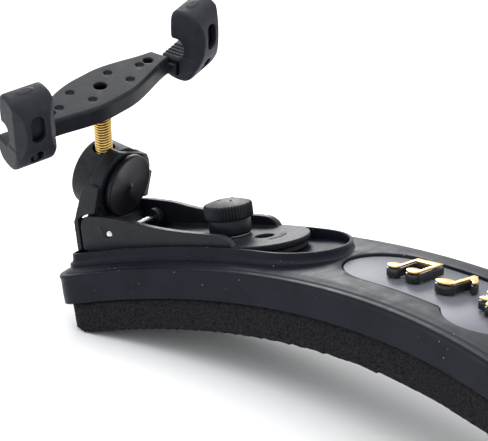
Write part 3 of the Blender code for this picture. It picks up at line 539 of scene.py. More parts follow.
def surface(name, dark, light, rough, metallic=0.0, scale=250.0, spread=0.06, grain=0.0,
            grain_scale=5000.0, specks=0.0, coat=0.0, specular=0.5, stretch=(1, 1, 1)):
    """Procedural finish: mottled colour and roughness, fine grain in mm, and dust specks."""
    material = bpy.data.materials.new(name)
    material.use_nodes = True
    nodes = material.node_tree.nodes
    links = material.node_tree.links
    shader = nodes["Principled BSDF"]
    place = nodes.new("ShaderNodeTexCoord")
    mapping = nodes.new("ShaderNodeMapping")
    mapping.inputs["Scale"].default_value = stretch
    links.new(place.outputs["Object"], mapping.inputs["Vector"])
    coords = mapping.outputs["Vector"]
    colour = add_mix(nodes, links, add_range(nodes, links, add_noise(nodes, links, coords, scale),
                                             0.0, 1.0), dark, light)
    if specks:
        cells = nodes.new("ShaderNodeTexVoronoi")
        cells.inputs["Scale"].default_value = 900.0
        links.new(coords, cells.inputs["Vector"])
        dots = add_range(nodes, links, cells.outputs["Distance"], specks, 0.0, 0.06, 0.12)
        patches = add_range(nodes, links, add_noise(nodes, links, coords, 700.0, 1.0),
                            0.0, 1.0, 0.60, 0.66)
        product = nodes.new("ShaderNodeMath")
        product.operation = "MULTIPLY"
        links.new(dots, product.inputs[0])
        links.new(patches, product.inputs[1])
        colour = add_mix(nodes, links, product.outputs[0], colour, (0.55, 0.56, 0.58))
    links.new(colour, shader.inputs["Base Color"])
    links.new(add_range(nodes, links, add_noise(nodes, links, coords, scale * 2.7),
                        rough - spread, rough + spread), shader.inputs["Roughness"])
    shader.inputs["Metallic"].default_value = metallic
    shader.inputs["Specular IOR Level"].default_value = specular
    shader.inputs["Coat Weight"].default_value = coat
    shader.inputs["Coat Roughness"].default_value = 0.12
    if grain:
        bump = nodes.new("ShaderNodeBump")
        bump.inputs["Distance"].default_value = grain * MM
        links.new(add_noise(nodes, links, coords, grain_scale, 2.0), bump.inputs["Height"])
        links.new(bump.outputs["Normal"], shader.inputs["Normal"])
    return material


def paint_root_shade(material):
    """Painted shade in the thread roots: the colour follows the distance from the Z axis, darker
    inwards.
    """
    nodes = material.node_tree.nodes
    links = material.node_tree.links
    shader = nodes["Principled BSDF"]
    colour = shader.inputs["Base Color"].links[0].from_socket
    place = nodes.new("ShaderNodeTexCoord")
    flat = nodes.new("ShaderNodeVectorMath")
    flat.operation = "MULTIPLY"
    flat.inputs[1].default_value = (1, 1, 0)
    links.new(place.outputs["Object"], flat.inputs[0])
    reach = nodes.new("ShaderNodeVectorMath")
    reach.operation = "LENGTH"
    links.new(flat.outputs["Vector"], reach.inputs[0])
    share = add_range(nodes, links, reach.outputs["Value"], 0.0, 1.0,
                      (STUD_RADIUS - ROOT_DEPTH) * MM, (STUD_RADIUS - CREST_DEPTH) * MM)
    # Painted shade: the roots take a dark brown colour, on steel as well as on brass.
    links.new(add_mix(nodes, links, share, (0.05, 0.024, 0.006), colour),
              shader.inputs["Base Color"])


def turned_face():
    """Turned black plastic: fine rings about X and a sheen that fans out from the centre."""
    material = surface("turned_black", (0.004, 0.004, 0.007), (0.009, 0.009, 0.014), 0.32,
                       scale=700.0, spread=0.04, specular=0.25)
    nodes = material.node_tree.nodes
    links = material.node_tree.links
    shader = nodes["Principled BSDF"]
    shader.inputs["Anisotropic"].default_value = 0.85
    tangent = nodes.new("ShaderNodeTangent")
    tangent.direction_type = "RADIAL"
    tangent.axis = "X"
    links.new(tangent.outputs["Tangent"], shader.inputs["Tangent"])
    place = nodes.new("ShaderNodeTexCoord")
    rings = nodes.new("ShaderNodeTexWave")
    rings.wave_type = "RINGS"
    rings.rings_direction = "X"
    rings.inputs["Scale"].default_value = 900.0
    links.new(place.outputs["Object"], rings.inputs["Vector"])
    bump = nodes.new("ShaderNodeBump")
    bump.inputs["Distance"].default_value = 0.006 * MM
    links.new(rings.outputs["Fac"], bump.inputs["Height"])
    links.new(bump.outputs["Normal"], shader.inputs["Normal"])
    return material


SHELL = surface("satin_shell", (0.0046, 0.0056, 0.0105), (0.0078, 0.0092, 0.0155), 0.42, scale=120.0,
                grain=0.012, grain_scale=4500.0, specks=0.7, specular=0.12)
FOAM = surface("charcoal_foam", (0.003, 0.003, 0.004), (0.022, 0.022, 0.024), 0.95, scale=2300.0,
               grain=0.2, grain_scale=2300.0, specular=0.10)
PLATE = surface("grey_gloss", (0.090, 0.094, 0.114), (0.150, 0.155, 0.184), 0.44, scale=30.0,
                spread=0.03, specular=0.22)
ORNAMENT = surface("moulded_black", (0.010, 0.010, 0.012), (0.018, 0.018, 0.021), 0.28)
GOLD = surface("gold_foil", (0.84, 0.52, 0.20), (0.96, 0.66, 0.30), 0.24, metallic=1.0,
               scale=500.0, grain=0.006, grain_scale=2500.0)
NYLON = surface("grained_nylon", (0.004, 0.005, 0.008), (0.009, 0.010, 0.015), 0.42, scale=300.0,
                grain=0.022, grain_scale=6500.0, specks=0.4, specular=0.24)
DRUM_NYLON = surface("matt_drum", (0.004, 0.005, 0.007), (0.012, 0.013, 0.017), 0.55,
                     scale=900.0, grain=0.05, grain_scale=4200.0, specks=0.4, specular=0.2)
RUBBER = surface("matt_rubber", (0.007, 0.008, 0.0135), (0.013, 0.0145, 0.022), 0.56, scale=400.0,
                 grain=0.03, grain_scale=5200.0, specks=0.3, specular=0.26)
PAD_RUBBER = surface("pad_rubber", (0.010, 0.010, 0.012), (0.018, 0.018, 0.020), 0.8,
                     grain=0.02, grain_scale=5000.0)
BRASS = surface("turned_brass", (0.72, 0.43, 0.11), (0.93, 0.62, 0.20), 0.34, metallic=1.0,
                scale=600.0, grain=0.004, grain_scale=3000.0)
STEEL = surface("bright_steel", (0.52, 0.52, 0.54), (0.76, 0.76, 0.78), 0.26, metallic=1.0,
                scale=600.0, grain=0.006, grain_scale=4000.0)
THREAD_BRASS = surface("threaded_brass", (0.80, 0.50, 0.14), (0.95, 0.66, 0.24), 0.32,
                       metallic=1.0, scale=600.0)
THREAD_STEEL = surface("threaded_steel", (0.52, 0.52, 0.54), (0.76, 0.76, 0.78), 0.30,
                       metallic=1.0, scale=600.0)
# Both threaded metals get painted shade in their thread roots.
for threaded_metal in (THREAD_BRASS, THREAD_STEEL):
    paint_root_shade(threaded_metal)
CAP = turned_face()


# ---------------------------------------------------------------- base

BASE_STEPS = 130
CORNER_STEPS = 10


def rounded_oblong(half_length, half_width, corner):
    straight = half_length - corner
    side = [(-straight + 2 * straight * i / BASE_STEPS) for i in range(1, BASE_STEPS)]
    points = [(x, -half_width) for x in side]
    points += arc(corner, -pi / 2, 0, CORNER_STEPS, (straight, -(half_width - corner)))
    points += arc(corner, 0, pi / 2, CORNER_STEPS, (straight, half_width - corner))
    points += [(x, half_width) for x in reversed(side)]
    points += arc(corner, pi / 2, pi, CORNER_STEPS, (-straight, half_width - corner))
    points += arc(corner, pi, 3 * pi / 2, CORNER_STEPS, (-straight, -(half_width - corner)))
    return points


def oblong_solid(levels, placing):
    """Solid from (half length, half width, corner, height) levels, placed on the arch."""
    bm = bmesh.new()
    rings = [[bm.verts.new((x, y, height)) for x, y in rounded_oblong(length, width, corner)]
             for length, width, corner, height in levels]
    count = len(rings[0])
    for low, high in zip(rings, rings[1:]):
        for i in range(count):
            j = (i + 1) % count
            bm.faces.new((low[i], low[j], high[j], high[i]))
    end = CORNER_STEPS + 1
    for ring in (rings[0], rings[-1]):
        near = ring[-end:] + ring[:BASE_STEPS - 1 + end]
        far = list(reversed(ring[BASE_STEPS - 1 + end:-end]))
        for i in range(len(near) - 1):
            bm.faces.new((near[i], near[i + 1], far[i + 1], far[i]))
    return mapped(finish_bmesh(bm), placing)


def pocket_outline(grow):
    """Left pocket in (station, across): round inside end, far side straight past the middle."""
    half = POCKET_HALF_WIDTH + grow
    centre = -POCKET_INNER_END - POCKET_HALF_WIDTH
    corner = POCKET_CORNER + grow
    outer = -POCKET_OUTER_END - grow
    points = arc(half, -pi / 2, pi / 2, 40, (centre, 0.0))
    far_side = [centre + (outer + corner - centre) * i / 40 for i in range(1, 41)]
    spread = [max(-FOOT_STATION - station, 0.0) ** 2 / (2 * BOW_RADIUS) for station in far_side]
    points += [(station, half + extra) for station, extra in zip(far_side, spread)]
    points += arc(corner, pi / 2, pi, 8, (outer + corner, half + spread[-1] - corner))[1:]
    points += arc(corner, pi, 3 * pi / 2, 8, (outer + corner, -(half - corner)))
    points += [(station, -half) for station in reversed(far_side[:-1])]
    return points


FOOT = FRAMES["left"]["foot"]


def pocket_solid(low, levels, high, side):
    """Solid over the pocket: flat below, levels that follow the arch, then flat again."""
    inverse = FOOT.inverted()
    loops = [[inverse @ on_base((x, y, height)) for x, y in pocket_outline(grow)]
             for grow, height in levels]
    loops.insert(0, [Vector((point.x, point.y, low)) for point in loops[0]])
    if high is not None:
        loops.append([Vector((point.x, point.y, high)) for point in loops[-1]])
    bm = skin_loops(loops)
    bmesh.ops.triangulate(bm, faces=[face for face in bm.faces if len(face.verts) > 4])
    bmesh.ops.transform(bm, matrix=FOOT if side == "left" else MIRROR_X @ FOOT, verts=bm.verts)
    bmesh.ops.recalc_face_normals(bm, faces=bm.faces)
    return bm


def cartouche_outline(grow):
    """Long pointed oval with a round medallion in the middle."""
    half_length = CARTOUCHE_HALF_LENGTH + grow
    half_width = CARTOUCHE_HALF_WIDTH + grow
    radius = MEDALLION_RADIUS + grow
    reach = sqrt(radius ** 2 - half_width ** 2)
    tip = []
    for i in range(25):
        angle = pi / 2 * i / 24
        tip.append((half_length - CARTOUCHE_SHOULDER * (1 - sin(angle)), -half_width * cos(angle)))
    flat = [(reach + (tip[0][0] - reach) * i / 10, -half_width) for i in range(1, 10)]
    bulge = arc(radius, -pi / 2, -asin(half_width / radius), 14)
    quarter = bulge + flat + tip
    right = quarter + [(x, -y) for x, y in reversed(quarter[:-1])]
    return right + [(-x, y) for x, y in reversed(right[1:-1])]


def cartouche_solid(levels):
    """Solid through (grow, height) levels of the name plate's outline."""
    bm = skin_loops([[(x, y, height) for x, y in cartouche_outline(grow)]
                     for grow, height in levels])
    for i in range(33):
        geometry = bm.verts[:] + bm.edges[:] + bm.faces[:]
        bmesh.ops.bisect_plane(bm, geom=geometry, plane_co=(-40 + 2.5 * i, 0, 0),
                               plane_no=(1, 0, 0))
    return mapped(bm, on_plate)


def placed_turned(profile, side):
    """A turned cutter on the thumb screw's axis."""
    return transformed(turned(profile), FRAMES[side]["screw"])


def make_shell():
    levels = []
    for inset, height in smoothed(EDGE, 2):
        corner = max(BASE_CORNER - inset, 1.5)
        levels.append((HALF_LENGTH - inset, HALF_WIDTH - inset, corner, height))
    body = oblong_solid(levels, on_shell)
    hollow = oblong_solid([
        (HALF_LENGTH - END_BLOCK, HALF_WIDTH - SHELL_WALL, 4.0, SKIRT_BOTTOM - 1),
        (HALF_LENGTH - END_BLOCK, HALF_WIDTH - SHELL_WALL - 0.6, 4.0, SHELL_ROOF)], on_base)
    body = cut(body, [hollow])
    rim = [(RIM_WIDTH + 1.1, -2.4), (RIM_WIDTH + 1.0, -2.05), (RIM_WIDTH + 0.45, -1.8),
           (RIM_WIDTH + 0.16, -1.35), (RIM_WIDTH + 0.04, -0.8), (RIM_WIDTH, -0.2),
           (RIM_WIDTH - 0.08, -0.06), (RIM_WIDTH - 0.22, 0.0), (-0.6, 0.0)]
    well = [(0.0, -0.2), (0.06, -0.08), (0.18, 0.06)]
    for side in ("left", "right"):
        boss = placed_turned([(-9.2, 5.0), (-4.0, 5.4)], side)
        body = union(body, [boss, pocket_solid(RIM_BOTTOM, rim, None, side)])
    for side in ("left", "right"):
        bore = placed_turned([(-8.3, 3.5), (0.0, 3.5)], side)
        body = cut(body, [pocket_solid(POCKET_FLOOR, well, 9.0, side), bore])
    recess = [(0.0, BASE_TOP - RECESS_DEPTH), (0.0, BASE_TOP - 0.25), (0.1, BASE_TOP - 0.08),
              (0.3, BASE_TOP + 0.05), (0.3, BASE_TOP + 3)]
    return cut(body, [cartouche_solid(recess)])


def make_foam():
    top = SKIRT_BOTTOM - GAP
    length = HALF_LENGTH - FOAM_END_INSET
    width = HALF_WIDTH - FOAM_INSET
    corner = BASE_CORNER - FOAM_INSET
    solid = oblong_solid([(length + FOAM_END_SPREAD, width, corner, FOAM_BOTTOM),
                          (length, width, corner, top)], on_base)
    for vertex in solid.verts:
        vertex.co.z = max(vertex.co.z, 0.0)
    bm = moulded(solid, FOAM_VOXEL, 0, 1)
    bm.normal_update()
    moves = []
    for vertex in bm.verts:
        height = noise.noise(vertex.co * FOAM_BUMP_SCALE) * FOAM_BUMP - FOAM_SINK
        moves.append(vertex.co + vertex.normal * height)
    for vertex, place in zip(bm.verts, moves):
        vertex.co = Vector((place.x, place.y, max(place.z, 0.0)))
    return bm


def make_plate():
    low = BASE_TOP - RECESS_DEPTH + GAP
    high = low + PLATE_THICKNESS
    return cartouche_solid([(-GAP, low), (-GAP, high - 0.12), (-GAP - 0.04, high - 0.04),
                            (-GAP - 0.14, high)])


def quaver(flip):
    """A note: an oval head, a stem and a flag."""
    head = [(-1.6 + 2.1 * cos(a) + 0.5 * sin(a), -2.6 + 1.5 * sin(a))
            for a in [2 * pi * i / 40 for i in range(40)]]
    stem = [(-0.5, -2.6), (0.7, -2.6), (0.7, 1.6), (1.9, 1.0), (2.6, 0.2), (3.0, 1.4),
            (2.7, 2.2), (1.9, 2.9), (0.7, 4.1), (-0.5, 4.1)]
    return [[(x * flip, y) for x, y in outline] for outline in (head, stem)]


def beamed_pair(flip):
    """Two joined notes."""
    outlines = []
    for shift in (0.0, 5.2):
        outlines.append([(-3.4 + shift + 1.75 * cos(a), -2.7 + 1.35 * sin(a))
                         for a in [2 * pi * i / 36 for i in range(36)]])
    outlines.append([(-2.7, -2.7), (-1.7, -2.7), (-1.7, 1.7), (2.5, 2.3), (2.5, -2.7),
                     (3.5, -2.7), (3.5, 4.3), (-2.7, 3.5)])
    return [[(x * flip, y) for x, y in outline] for outline in outlines]


def ornament_outlines():
    """Outlines of each raised ornament with its place along the name plate."""
    rosette = []
    for i in range(96):
        angle = 2 * pi * i / 96
        radius = 4.3 + 0.75 * cos(8 * angle)
        rosette.append((radius * cos(angle), radius * sin(angle)))
    return [(-2, beamed_pair(1)), (-1, quaver(1)), (0, [rosette]),
            (1, quaver(-1)), (2, beamed_pair(-1))]


def make_ornament(place, outlines, low, high, inset, bevel):
    solids = []
    for outline in outlines:
        points = grown(outline, -inset) if inset else outline
        shifted = [(x + place * ORNAMENT_PITCH, y) for x, y in points]
        solids.append(prism(shifted, "Z", low, high, bevel))
    solid = solids[0]
    if len(solids) > 1:
        solid = union(solid, solids[1:])
    if place == 0:
        solid = cut(solid, [turned([(low - 1, 2.0 + inset), (high + 1, 2.0 + inset)])])
    return mapped(solid, on_plate)


def build_base():
    add_piece("base_shell_finished", make_shell(), SHELL, "base_shell", sharp=35)
    foam = add_piece("foam_pad_finished", make_foam(), FOAM, "foam_pad", sharp=0)
    add_piece("name_plate_finished", make_plate(), PLATE, "name_plate")
    low = BASE_TOP - RECESS_DEPTH + 2 * GAP + PLATE_THICKNESS
    high = low + ORNAMENT_HEIGHT
    face = high + 0.25
    for number, (place, outlines) in enumerate(ornament_outlines(), 1):
        node = "ornament_%d" % number
        add_piece(node + "_finished", make_ornament(place, outlines, low, high, 0, 0.1),
                  ORNAMENT, node)
        node = "ornament_face_%d" % number
        add_piece(node + "_finished",
                  make_ornament(place, outlines, face, face + FACE_THICKNESS, 0.12, 0.08),
                  GOLD, node)


# ---------------------------------------------------------------- threads

def threaded(radius, low, high, depth=0.3, around=40):
    """Rod with a right-hand thread between two levels."""
    rows = int((high - low) / STUD_PITCH * 10)
    loops = []
    for j in range(rows + 1):
        level = low + (high - low) * j / rows
        ease = min(1.0, (level - low) / 0.5, (high - level) / 0.5)
        loop = []
        for i in range(around):
            phase = level / STUD_PITCH - i / around
            flank = (0.5 - 0.5 * cos(2 * pi * phase)) ** 1.5
            reach = radius - depth * flank - 0.35 * (1 - ease)
            angle = 2 * pi * i / around
            loop.append((reach * cos(angle), reach * sin(angle), level))
        loops.append(loop)
    return skin_loops(loops)


def add_threaded(node, radius, low, high, frame_name, material):
    for side in ("left", "right"):
        add_piece(side + "_" + node + "_finished", threaded(radius, low, high), material,
                  side + "_" + node, FRAMES[side][frame_name], sharp=0)


# ---------------------------------------------------------------- foot and thumb screw

def make_foot():
    half = FOOT_HALF_WIDTH
    outline = arc(half, -pi / 2, pi / 2, 48, (PLATE_END_X - half, 0.0))
    outline += [(PLATE_START_X, half - 0.2), (PLATE_START_X, -(half - 0.2))]
    body = prism(outline, "Z", -FOOT_PLATE, 0.0)
    profile = smoothed(CHEEK_PROFILE[1:-1], 4)
    profile = [CHEEK_PROFILE[0]] + profile + [CHEEK_PROFILE[-1]]
    near = prism(profile, "Y", -half, -half + CHEEK_THICKNESS)
    far = prism(profile, "Y", half - CHEEK_THICKNESS, half)
    rib = prism(arc(3.2, radians(200), radians(250), 8, (0.4, 4.4))
                + arc(2.7, radians(250), radians(200), 8, (0.4, 4.4)), "Y", -half - 0.22, -half)
    body = union(body, [near, far, rib])
    raised = arc(4.6, radians(-40), radians(40), 12, (SPARE_HOLE_X, 0.0))
    raised += arc(4.0, radians(40), radians(-40), 12, (SPARE_HOLE_X, 0.0))
    body = union(body, [prism(raised, "Z", -0.3, 0.25)])
    cutters = [turned([(-12, PIN_RADIUS + 0.06), (12, PIN_RADIUS + 0.06)], "Y", 24, (0.0, PIN_Z)),
               turned([(-3, SCREW_HOLE_RADIUS), (1, SCREW_HOLE_RADIUS)], centre=(SCREW_X, 0.0)),
               turned([(-3, SPARE_HOLE_RADIUS), (1, SPARE_HOLE_RADIUS)],
                      centre=(SPARE_HOLE_X, 0.0))]
    return moulded(cut(body, cutters), 0.2, 2, 0.35)


def make_slide_pad():
    top = -FOOT_PLATE - 0.25
    neck = FOOT_HALF_WIDTH - CHEEK_THICKNESS - 0.4
    outline = arc(PAD_RADIUS, -pi / 2, pi / 2, 40, (PAD_CENTRE_X, 0.0))
    outline += [(PAD_NECK_X, PAD_RADIUS), (PAD_NECK_X, neck), (PAD_START_X, neck),
                (PAD_START_X, -neck), (PAD_NECK_X, -neck), (PAD_NECK_X, -PAD_RADIUS)]
    body = prism(outline, "Z", top - PAD_THICKNESS, top, 0.12)
    hole = turned([(top - 3, 2.4), (top + 1, 2.4)], centre=(SPARE_HOLE_X, 0.0))
    return cut(body, [hole])


def make_pin():
    head = FOOT_HALF_WIDTH + 0.15
    return turned([(-head, 0.3), (-head + 0.06, 0.55), (-head + 0.25, PIN_RADIUS),
                   (head - 0.25, PIN_RADIUS), (head - 0.06, 0.55), (head, 0.3)], "Y", 32)


def make_insert():
    top = POCKET_FLOOR - 0.1
    body = turned([(-8.0, 3.0), (-7.8, 3.2), (top - 0.2, 3.2), (top, 3.0)])
    return cut(body, [turned([(-9.0, SHANK_RADIUS + GAP), (0.0, SHANK_RADIUS + GAP)])])


def knurled(levels, count=KNURL_COUNT, samples=6):
    """Turned solid from (level, radius, depth of the ridges) rings."""
    around = count * samples
    loops = []
    for level, radius, depth in levels:
        loop = []
        for i in range(around):
            wave = abs(((i / samples) % 1.0) - 0.5) * 2
            reach = radius - depth * wave
            angle = 2 * pi * i / around
            loop.append((reach * cos(angle), reach * sin(angle), level))
        loops.append(loop)
    return skin_loops(loops)


def make_knob():
    deep = KNURL_DEPTH
    levels = [(KNOB_BOTTOM, COLLAR_RADIUS - 0.3, 0), (KNOB_BOTTOM + 0.1, COLLAR_RADIUS - 0.1, 0),
              (KNOB_BOTTOM + 0.3, COLLAR_RADIUS, 0), (COLLAR_TOP - 0.2, COLLAR_RADIUS - 0.1, 0),
              (COLLAR_TOP, COLLAR_RADIUS - 0.2, 0), (COLLAR_TOP + 0.05, GRIP_RADIUS - 0.25, deep),
              (COLLAR_TOP + 0.2, GRIP_RADIUS - 0.06, deep), (COLLAR_TOP + 0.4, GRIP_RADIUS, deep),
              (GRIP_TOP - 0.5, GRIP_RADIUS, deep), (GRIP_TOP - 0.2, GRIP_RADIUS - 0.08, deep),
              (GRIP_TOP, GRIP_RADIUS - 0.3, deep * 0.6), (GRIP_TOP + 0.06, GRIP_RADIUS - 0.55, 0),
              (GRIP_TOP + 0.3, 4.1, 0), (GRIP_TOP + 0.6, 3.2, 0), (DOME_TOP - 0.18, 2.2, 0),
              (DOME_TOP - 0.04, 1.2, 0), (DOME_TOP, 0.4, 0)]
    body = knurled(levels)
    socket = turned([(-1, SHANK_RADIUS + 0.2), (3.4, SHANK_RADIUS + 0.2)])
    body = cut(body, [socket])
    marks = []
    for turn in range(3):
        bar = prism([(-0.22, 0.5), (0.22, 0.5), (0.22, 2.1), (-0.22, 2.1)], "Z",
                    DOME_TOP - 0.5, DOME_TOP - 0.02, 0.06)
        marks.append(transformed(bar, Matrix.Rotation(turn * 2 * pi / 3, 4, "Z")))
    return append(body, marks)


def make_washer():
    body = turned([(0.2, 4.42), (0.26, 4.5), (0.44, 4.5), (0.5, 4.42)])
    return cut(body, [turned([(-1, 2.35), (1, 2.35)])])


# ---------------------------------------------------------------- leg and drum

def foot_to_leg(x, z):
    """A point of the foot's XZ plane in the leg's frame."""
    dz = z - PIN_Z
    return (x * cos(LEG_LEAN) - dz * sin(LEG_LEAN), x * sin(LEG_LEAN) + dz * cos(LEG_LEAN))


def make_leg():
    shelf = -0.25
    half = LEG_HALF_WIDTH
    outer_low = foot_to_leg(SKIRT_OUTER_X, CHEEK_BOTTOM)
    outer_high = foot_to_leg(SKIRT_OUTER_X, 4.7)
    inner_low = foot_to_leg(SKIRT_INNER_X, CHEEK_BOTTOM)
    inner_high = foot_to_leg(SKIRT_INNER_X, 5.2)
    skirt = prism([outer_low, outer_high, inner_high, inner_low], "Y",
                  -FOOT_HALF_WIDTH, FOOT_HALF_WIDTH)
    web = prism([outer_high, (CUP_BACK_X, shelf), (CUP_FRONT_X, shelf), (-2.6, -0.9),
                 (-2.4, -2.3), foot_to_leg(SKIRT_INNER_X, -0.6),
                 foot_to_leg(SKIRT_OUTER_X, -0.6)], "Y", -half, half)
    start = pi / 2 - FAR_HORN_ANGLE
    sweep = -(2 * pi - NEAR_HORN_ANGLE - FAR_HORN_ANGLE)
    wall = arc(CUP_RADIUS, start, start + sweep, 110, (0.0, DRUM_Z))
    lower = [point for point in wall if point[1] > DRUM_Z - 5.5]
    split = next(i for i in range(len(lower) - 1)
                 if lower[i][0] > 0 > lower[i + 1][0] and lower[i][1] < DRUM_Z)
    floor = [(CUP_RADIUS * 0.92, shelf), (-CUP_RADIUS * 0.92, shelf)]
    silhouette = lower[:split + 1] + floor + lower[split + 1:]
    shell = prism(silhouette, "X", CUP_BACK_X, CUP_FRONT_X)
    knuckles = []
    for sign in (-1, 1):
        low, high = sorted((sign * KNUCKLE_INNER_Y, sign * half))
        ear = [(-3.2, -0.4), (-3.2, -2.3)]
        ear += arc(KNUCKLE_RADIUS, radians(-100), radians(110), 30)
        knuckles.append(prism(ear, "Y", low, high))
    ears = []
    for sign in (-1, 1):
        low, high = sorted((sign * EAR_INNER_Y, sign * EAR_OUTER_Y))
        ears.append(prism([outer_high, (-9.7, 7.1), (-9.2, 8.0), (-8.4, 8.8), (-7.0, 9.4),
                           (CUP_FRONT_X, 9.4), (CUP_FRONT_X, 3.0), foot_to_leg(-6.4, 6.25),
                           foot_to_leg(-7.8, 5.75), inner_high], "Y", low, high))
    body = union(skirt, [web, shell] + knuckles + ears)
    seat = DRUM_RADIUS + GAP
    cutters = [turned([(CUP_BACK_X - 5, seat), (CUP_WALL_BACK_X, seat)], "X", 96, (0.0, DRUM_Z)),
               turned([(CUP_BACK_X, AXLE_RADIUS + 0.1), (0.0, AXLE_RADIUS + 0.1)], "X", 48,
                      (0.0, DRUM_Z)),
               turned([(CUP_FRONT_X - 0.5, DRUM_RADIUS - 0.2), (0.0, DRUM_RADIUS - 0.2)], "X", 96,
                      (0.0, DRUM_Z)),
               turned([(-12, PIN_RADIUS + 0.06), (12, PIN_RADIUS + 0.06)], "Y", 24)]
    return moulded(cut(body, cutters), 0.2, 2, 0.35)


def make_drum():
    body = turned([(DRUM_BACK_X, DRUM_RADIUS - 0.6), (DRUM_BACK_X + 0.18, DRUM_RADIUS - 0.26),
                   (DRUM_BACK_X + 0.6, DRUM_RADIUS), (DRUM_FRONT_X - 0.15, DRUM_RADIUS),
                   (DRUM_FRONT_X, DRUM_RADIUS - 0.15)], "X", 128)
    axle = turned([(DRUM_FRONT_X - 1.0, AXLE_RADIUS + 0.25), (0.0, AXLE_RADIUS + 0.25)], "X", 48)
    bush = turned([(BUSH_BOTTOM - GAP, BUSH_RADIUS + GAP), (BUSH_TOP, BUSH_RADIUS + GAP)])
    stud = turned([(-12, STUD_HOLE_RADIUS), (12, STUD_HOLE_RADIUS)])
    slant = Matrix.Translation((STUD_X, 0, 0)) @ Matrix.Rotation(FORK_TILT, 4, "X")
    for tool in (bush, stud):
        transformed(tool, slant)
    return cut(body, [axle, bush, stud])


def make_axle():
    return turned([(DRUM_FRONT_X - 0.7, AXLE_RADIUS), (CAP_BACK_X, AXLE_RADIUS),
                   (CAP_BACK_X + 0.01, CAP_RADIUS), (CAP_FRONT_X - 0.35, CAP_RADIUS),
                   (CAP_FRONT_X - 0.1, CAP_RADIUS - 0.1), (CAP_FRONT_X, CAP_RADIUS - 0.3),
                   (CAP_FRONT_X - 0.04, CAP_RADIUS - 0.5), (CAP_FRONT_X - 0.18, CAP_RADIUS - 0.7),
                   (CAP_FRONT_X - 0.1, 0.95), (CAP_FRONT_X + 0.1, 0.8),
                   (CAP_FRONT_X + 0.25, 0.55), (CAP_FRONT_X + 0.3, 0.25)], "X", 128)


def make_bush():
    body = turned([(BUSH_BOTTOM, BUSH_RADIUS), (BUSH_TOP - 0.4, BUSH_RADIUS),
                   (BUSH_TOP - 0.2, BUSH_RADIUS - 0.2)])
    return cut(body, [turned([(BUSH_BOTTOM - 1, STUD_RADIUS + GAP),
                              (BUSH_TOP + 1, STUD_RADIUS + GAP)])])


# ---------------------------------------------------------------- fork

def bar_outline(inset):
    """Leaf outline: full in the middle, narrow where it meets the hooks."""
    near = []
    steps = 60
    for i in range(steps + 1):
        along = -BAR_HALF_LENGTH + 2 * BAR_HALF_LENGTH * i / steps
        ratio = abs(along) / BAR_HALF_LENGTH
        swell = 0.5 + 0.5 * cos(pi * min(max(ratio * 1.12 - 0.1, 0.0), 1.0))
        near.append((BAR_WAIST + (BAR_HALF_WIDTH - BAR_WAIST) * swell - inset, along))
    return near + [(-x, y) for x, y in reversed(near)]


def claw_frame(sign):
    return Matrix.Translation((CLAW_X, sign * CLAW_STATION, 0)) @ Matrix.Rotation(
        sign * CLAW_TURN, 4, "Z")


def on_claw(bm, sign):
    return transformed(bm, claw_frame(sign) if sign > 0 else claw_frame(sign) @ MIRROR_Y)


def hook_solids(grow):
    """The hook inside a boot and the neck that joins it to the bar, for the +Y end."""
    hook = prism(grown(smoothed(HOOK_PROFILE, 3, closed=True), grow), "Y",
                 -HOOK_HALF_WIDTH - grow, HOOK_HALF_WIDTH + grow)
    neck = box((-1.3 - grow, -CLAW_HALF_WIDTH - 1, -4.0 - grow), (2.0 + grow, 0.0, -1.2 + grow))
    return [hook, neck]


def make_fork():
    levels = [(-BAR_THICKNESS, 0.6), (-BAR_THICKNESS + 0.2, 0.2), (-BAR_THICKNESS + 0.5, 0.0),
              (-0.7, 0.0), (-0.3, 0.15), (0.0, 0.6)]
    body = skin_loops([[(x, y, z) for x, y in bar_outline(inset)] for z, inset in levels])
    inside = -CLAW_HALF_WIDTH - BOOT_GAP
    ends = [on_claw(box((-25, inside, -10), (25, 25, 10)), sign) for sign in (-1, 1)]
    body = cut(body, ends)
    hooks = []
    for sign in (-1, 1):
        hooks += [on_claw(solid, sign) for solid in hook_solids(0.0)]
    body = union(body, hooks)
    cutters = [turned([(-BAR_THICKNESS - 1, STUD_RADIUS + 0.2), (-1.2, STUD_RADIUS + 0.2)])]
    for x, y, radius in BAR_HOLES:
        cutters.append(turned([(-8, radius), (-0.3, radius), (2, radius + 0.9)], count=40,
                              centre=(x, y)))
    for x, y in DIMPLES:
        cutters.append(turned([(-0.75, 0.4), (-0.6, 0.75), (0.3, 1.2)], count=32, centre=(x, y)))
    body = moulded(cut(body, cutters), 0.18, 2, 0.35)
    return mapped(body, lambda point: point + Vector((0, 0, FORK_RISE)))


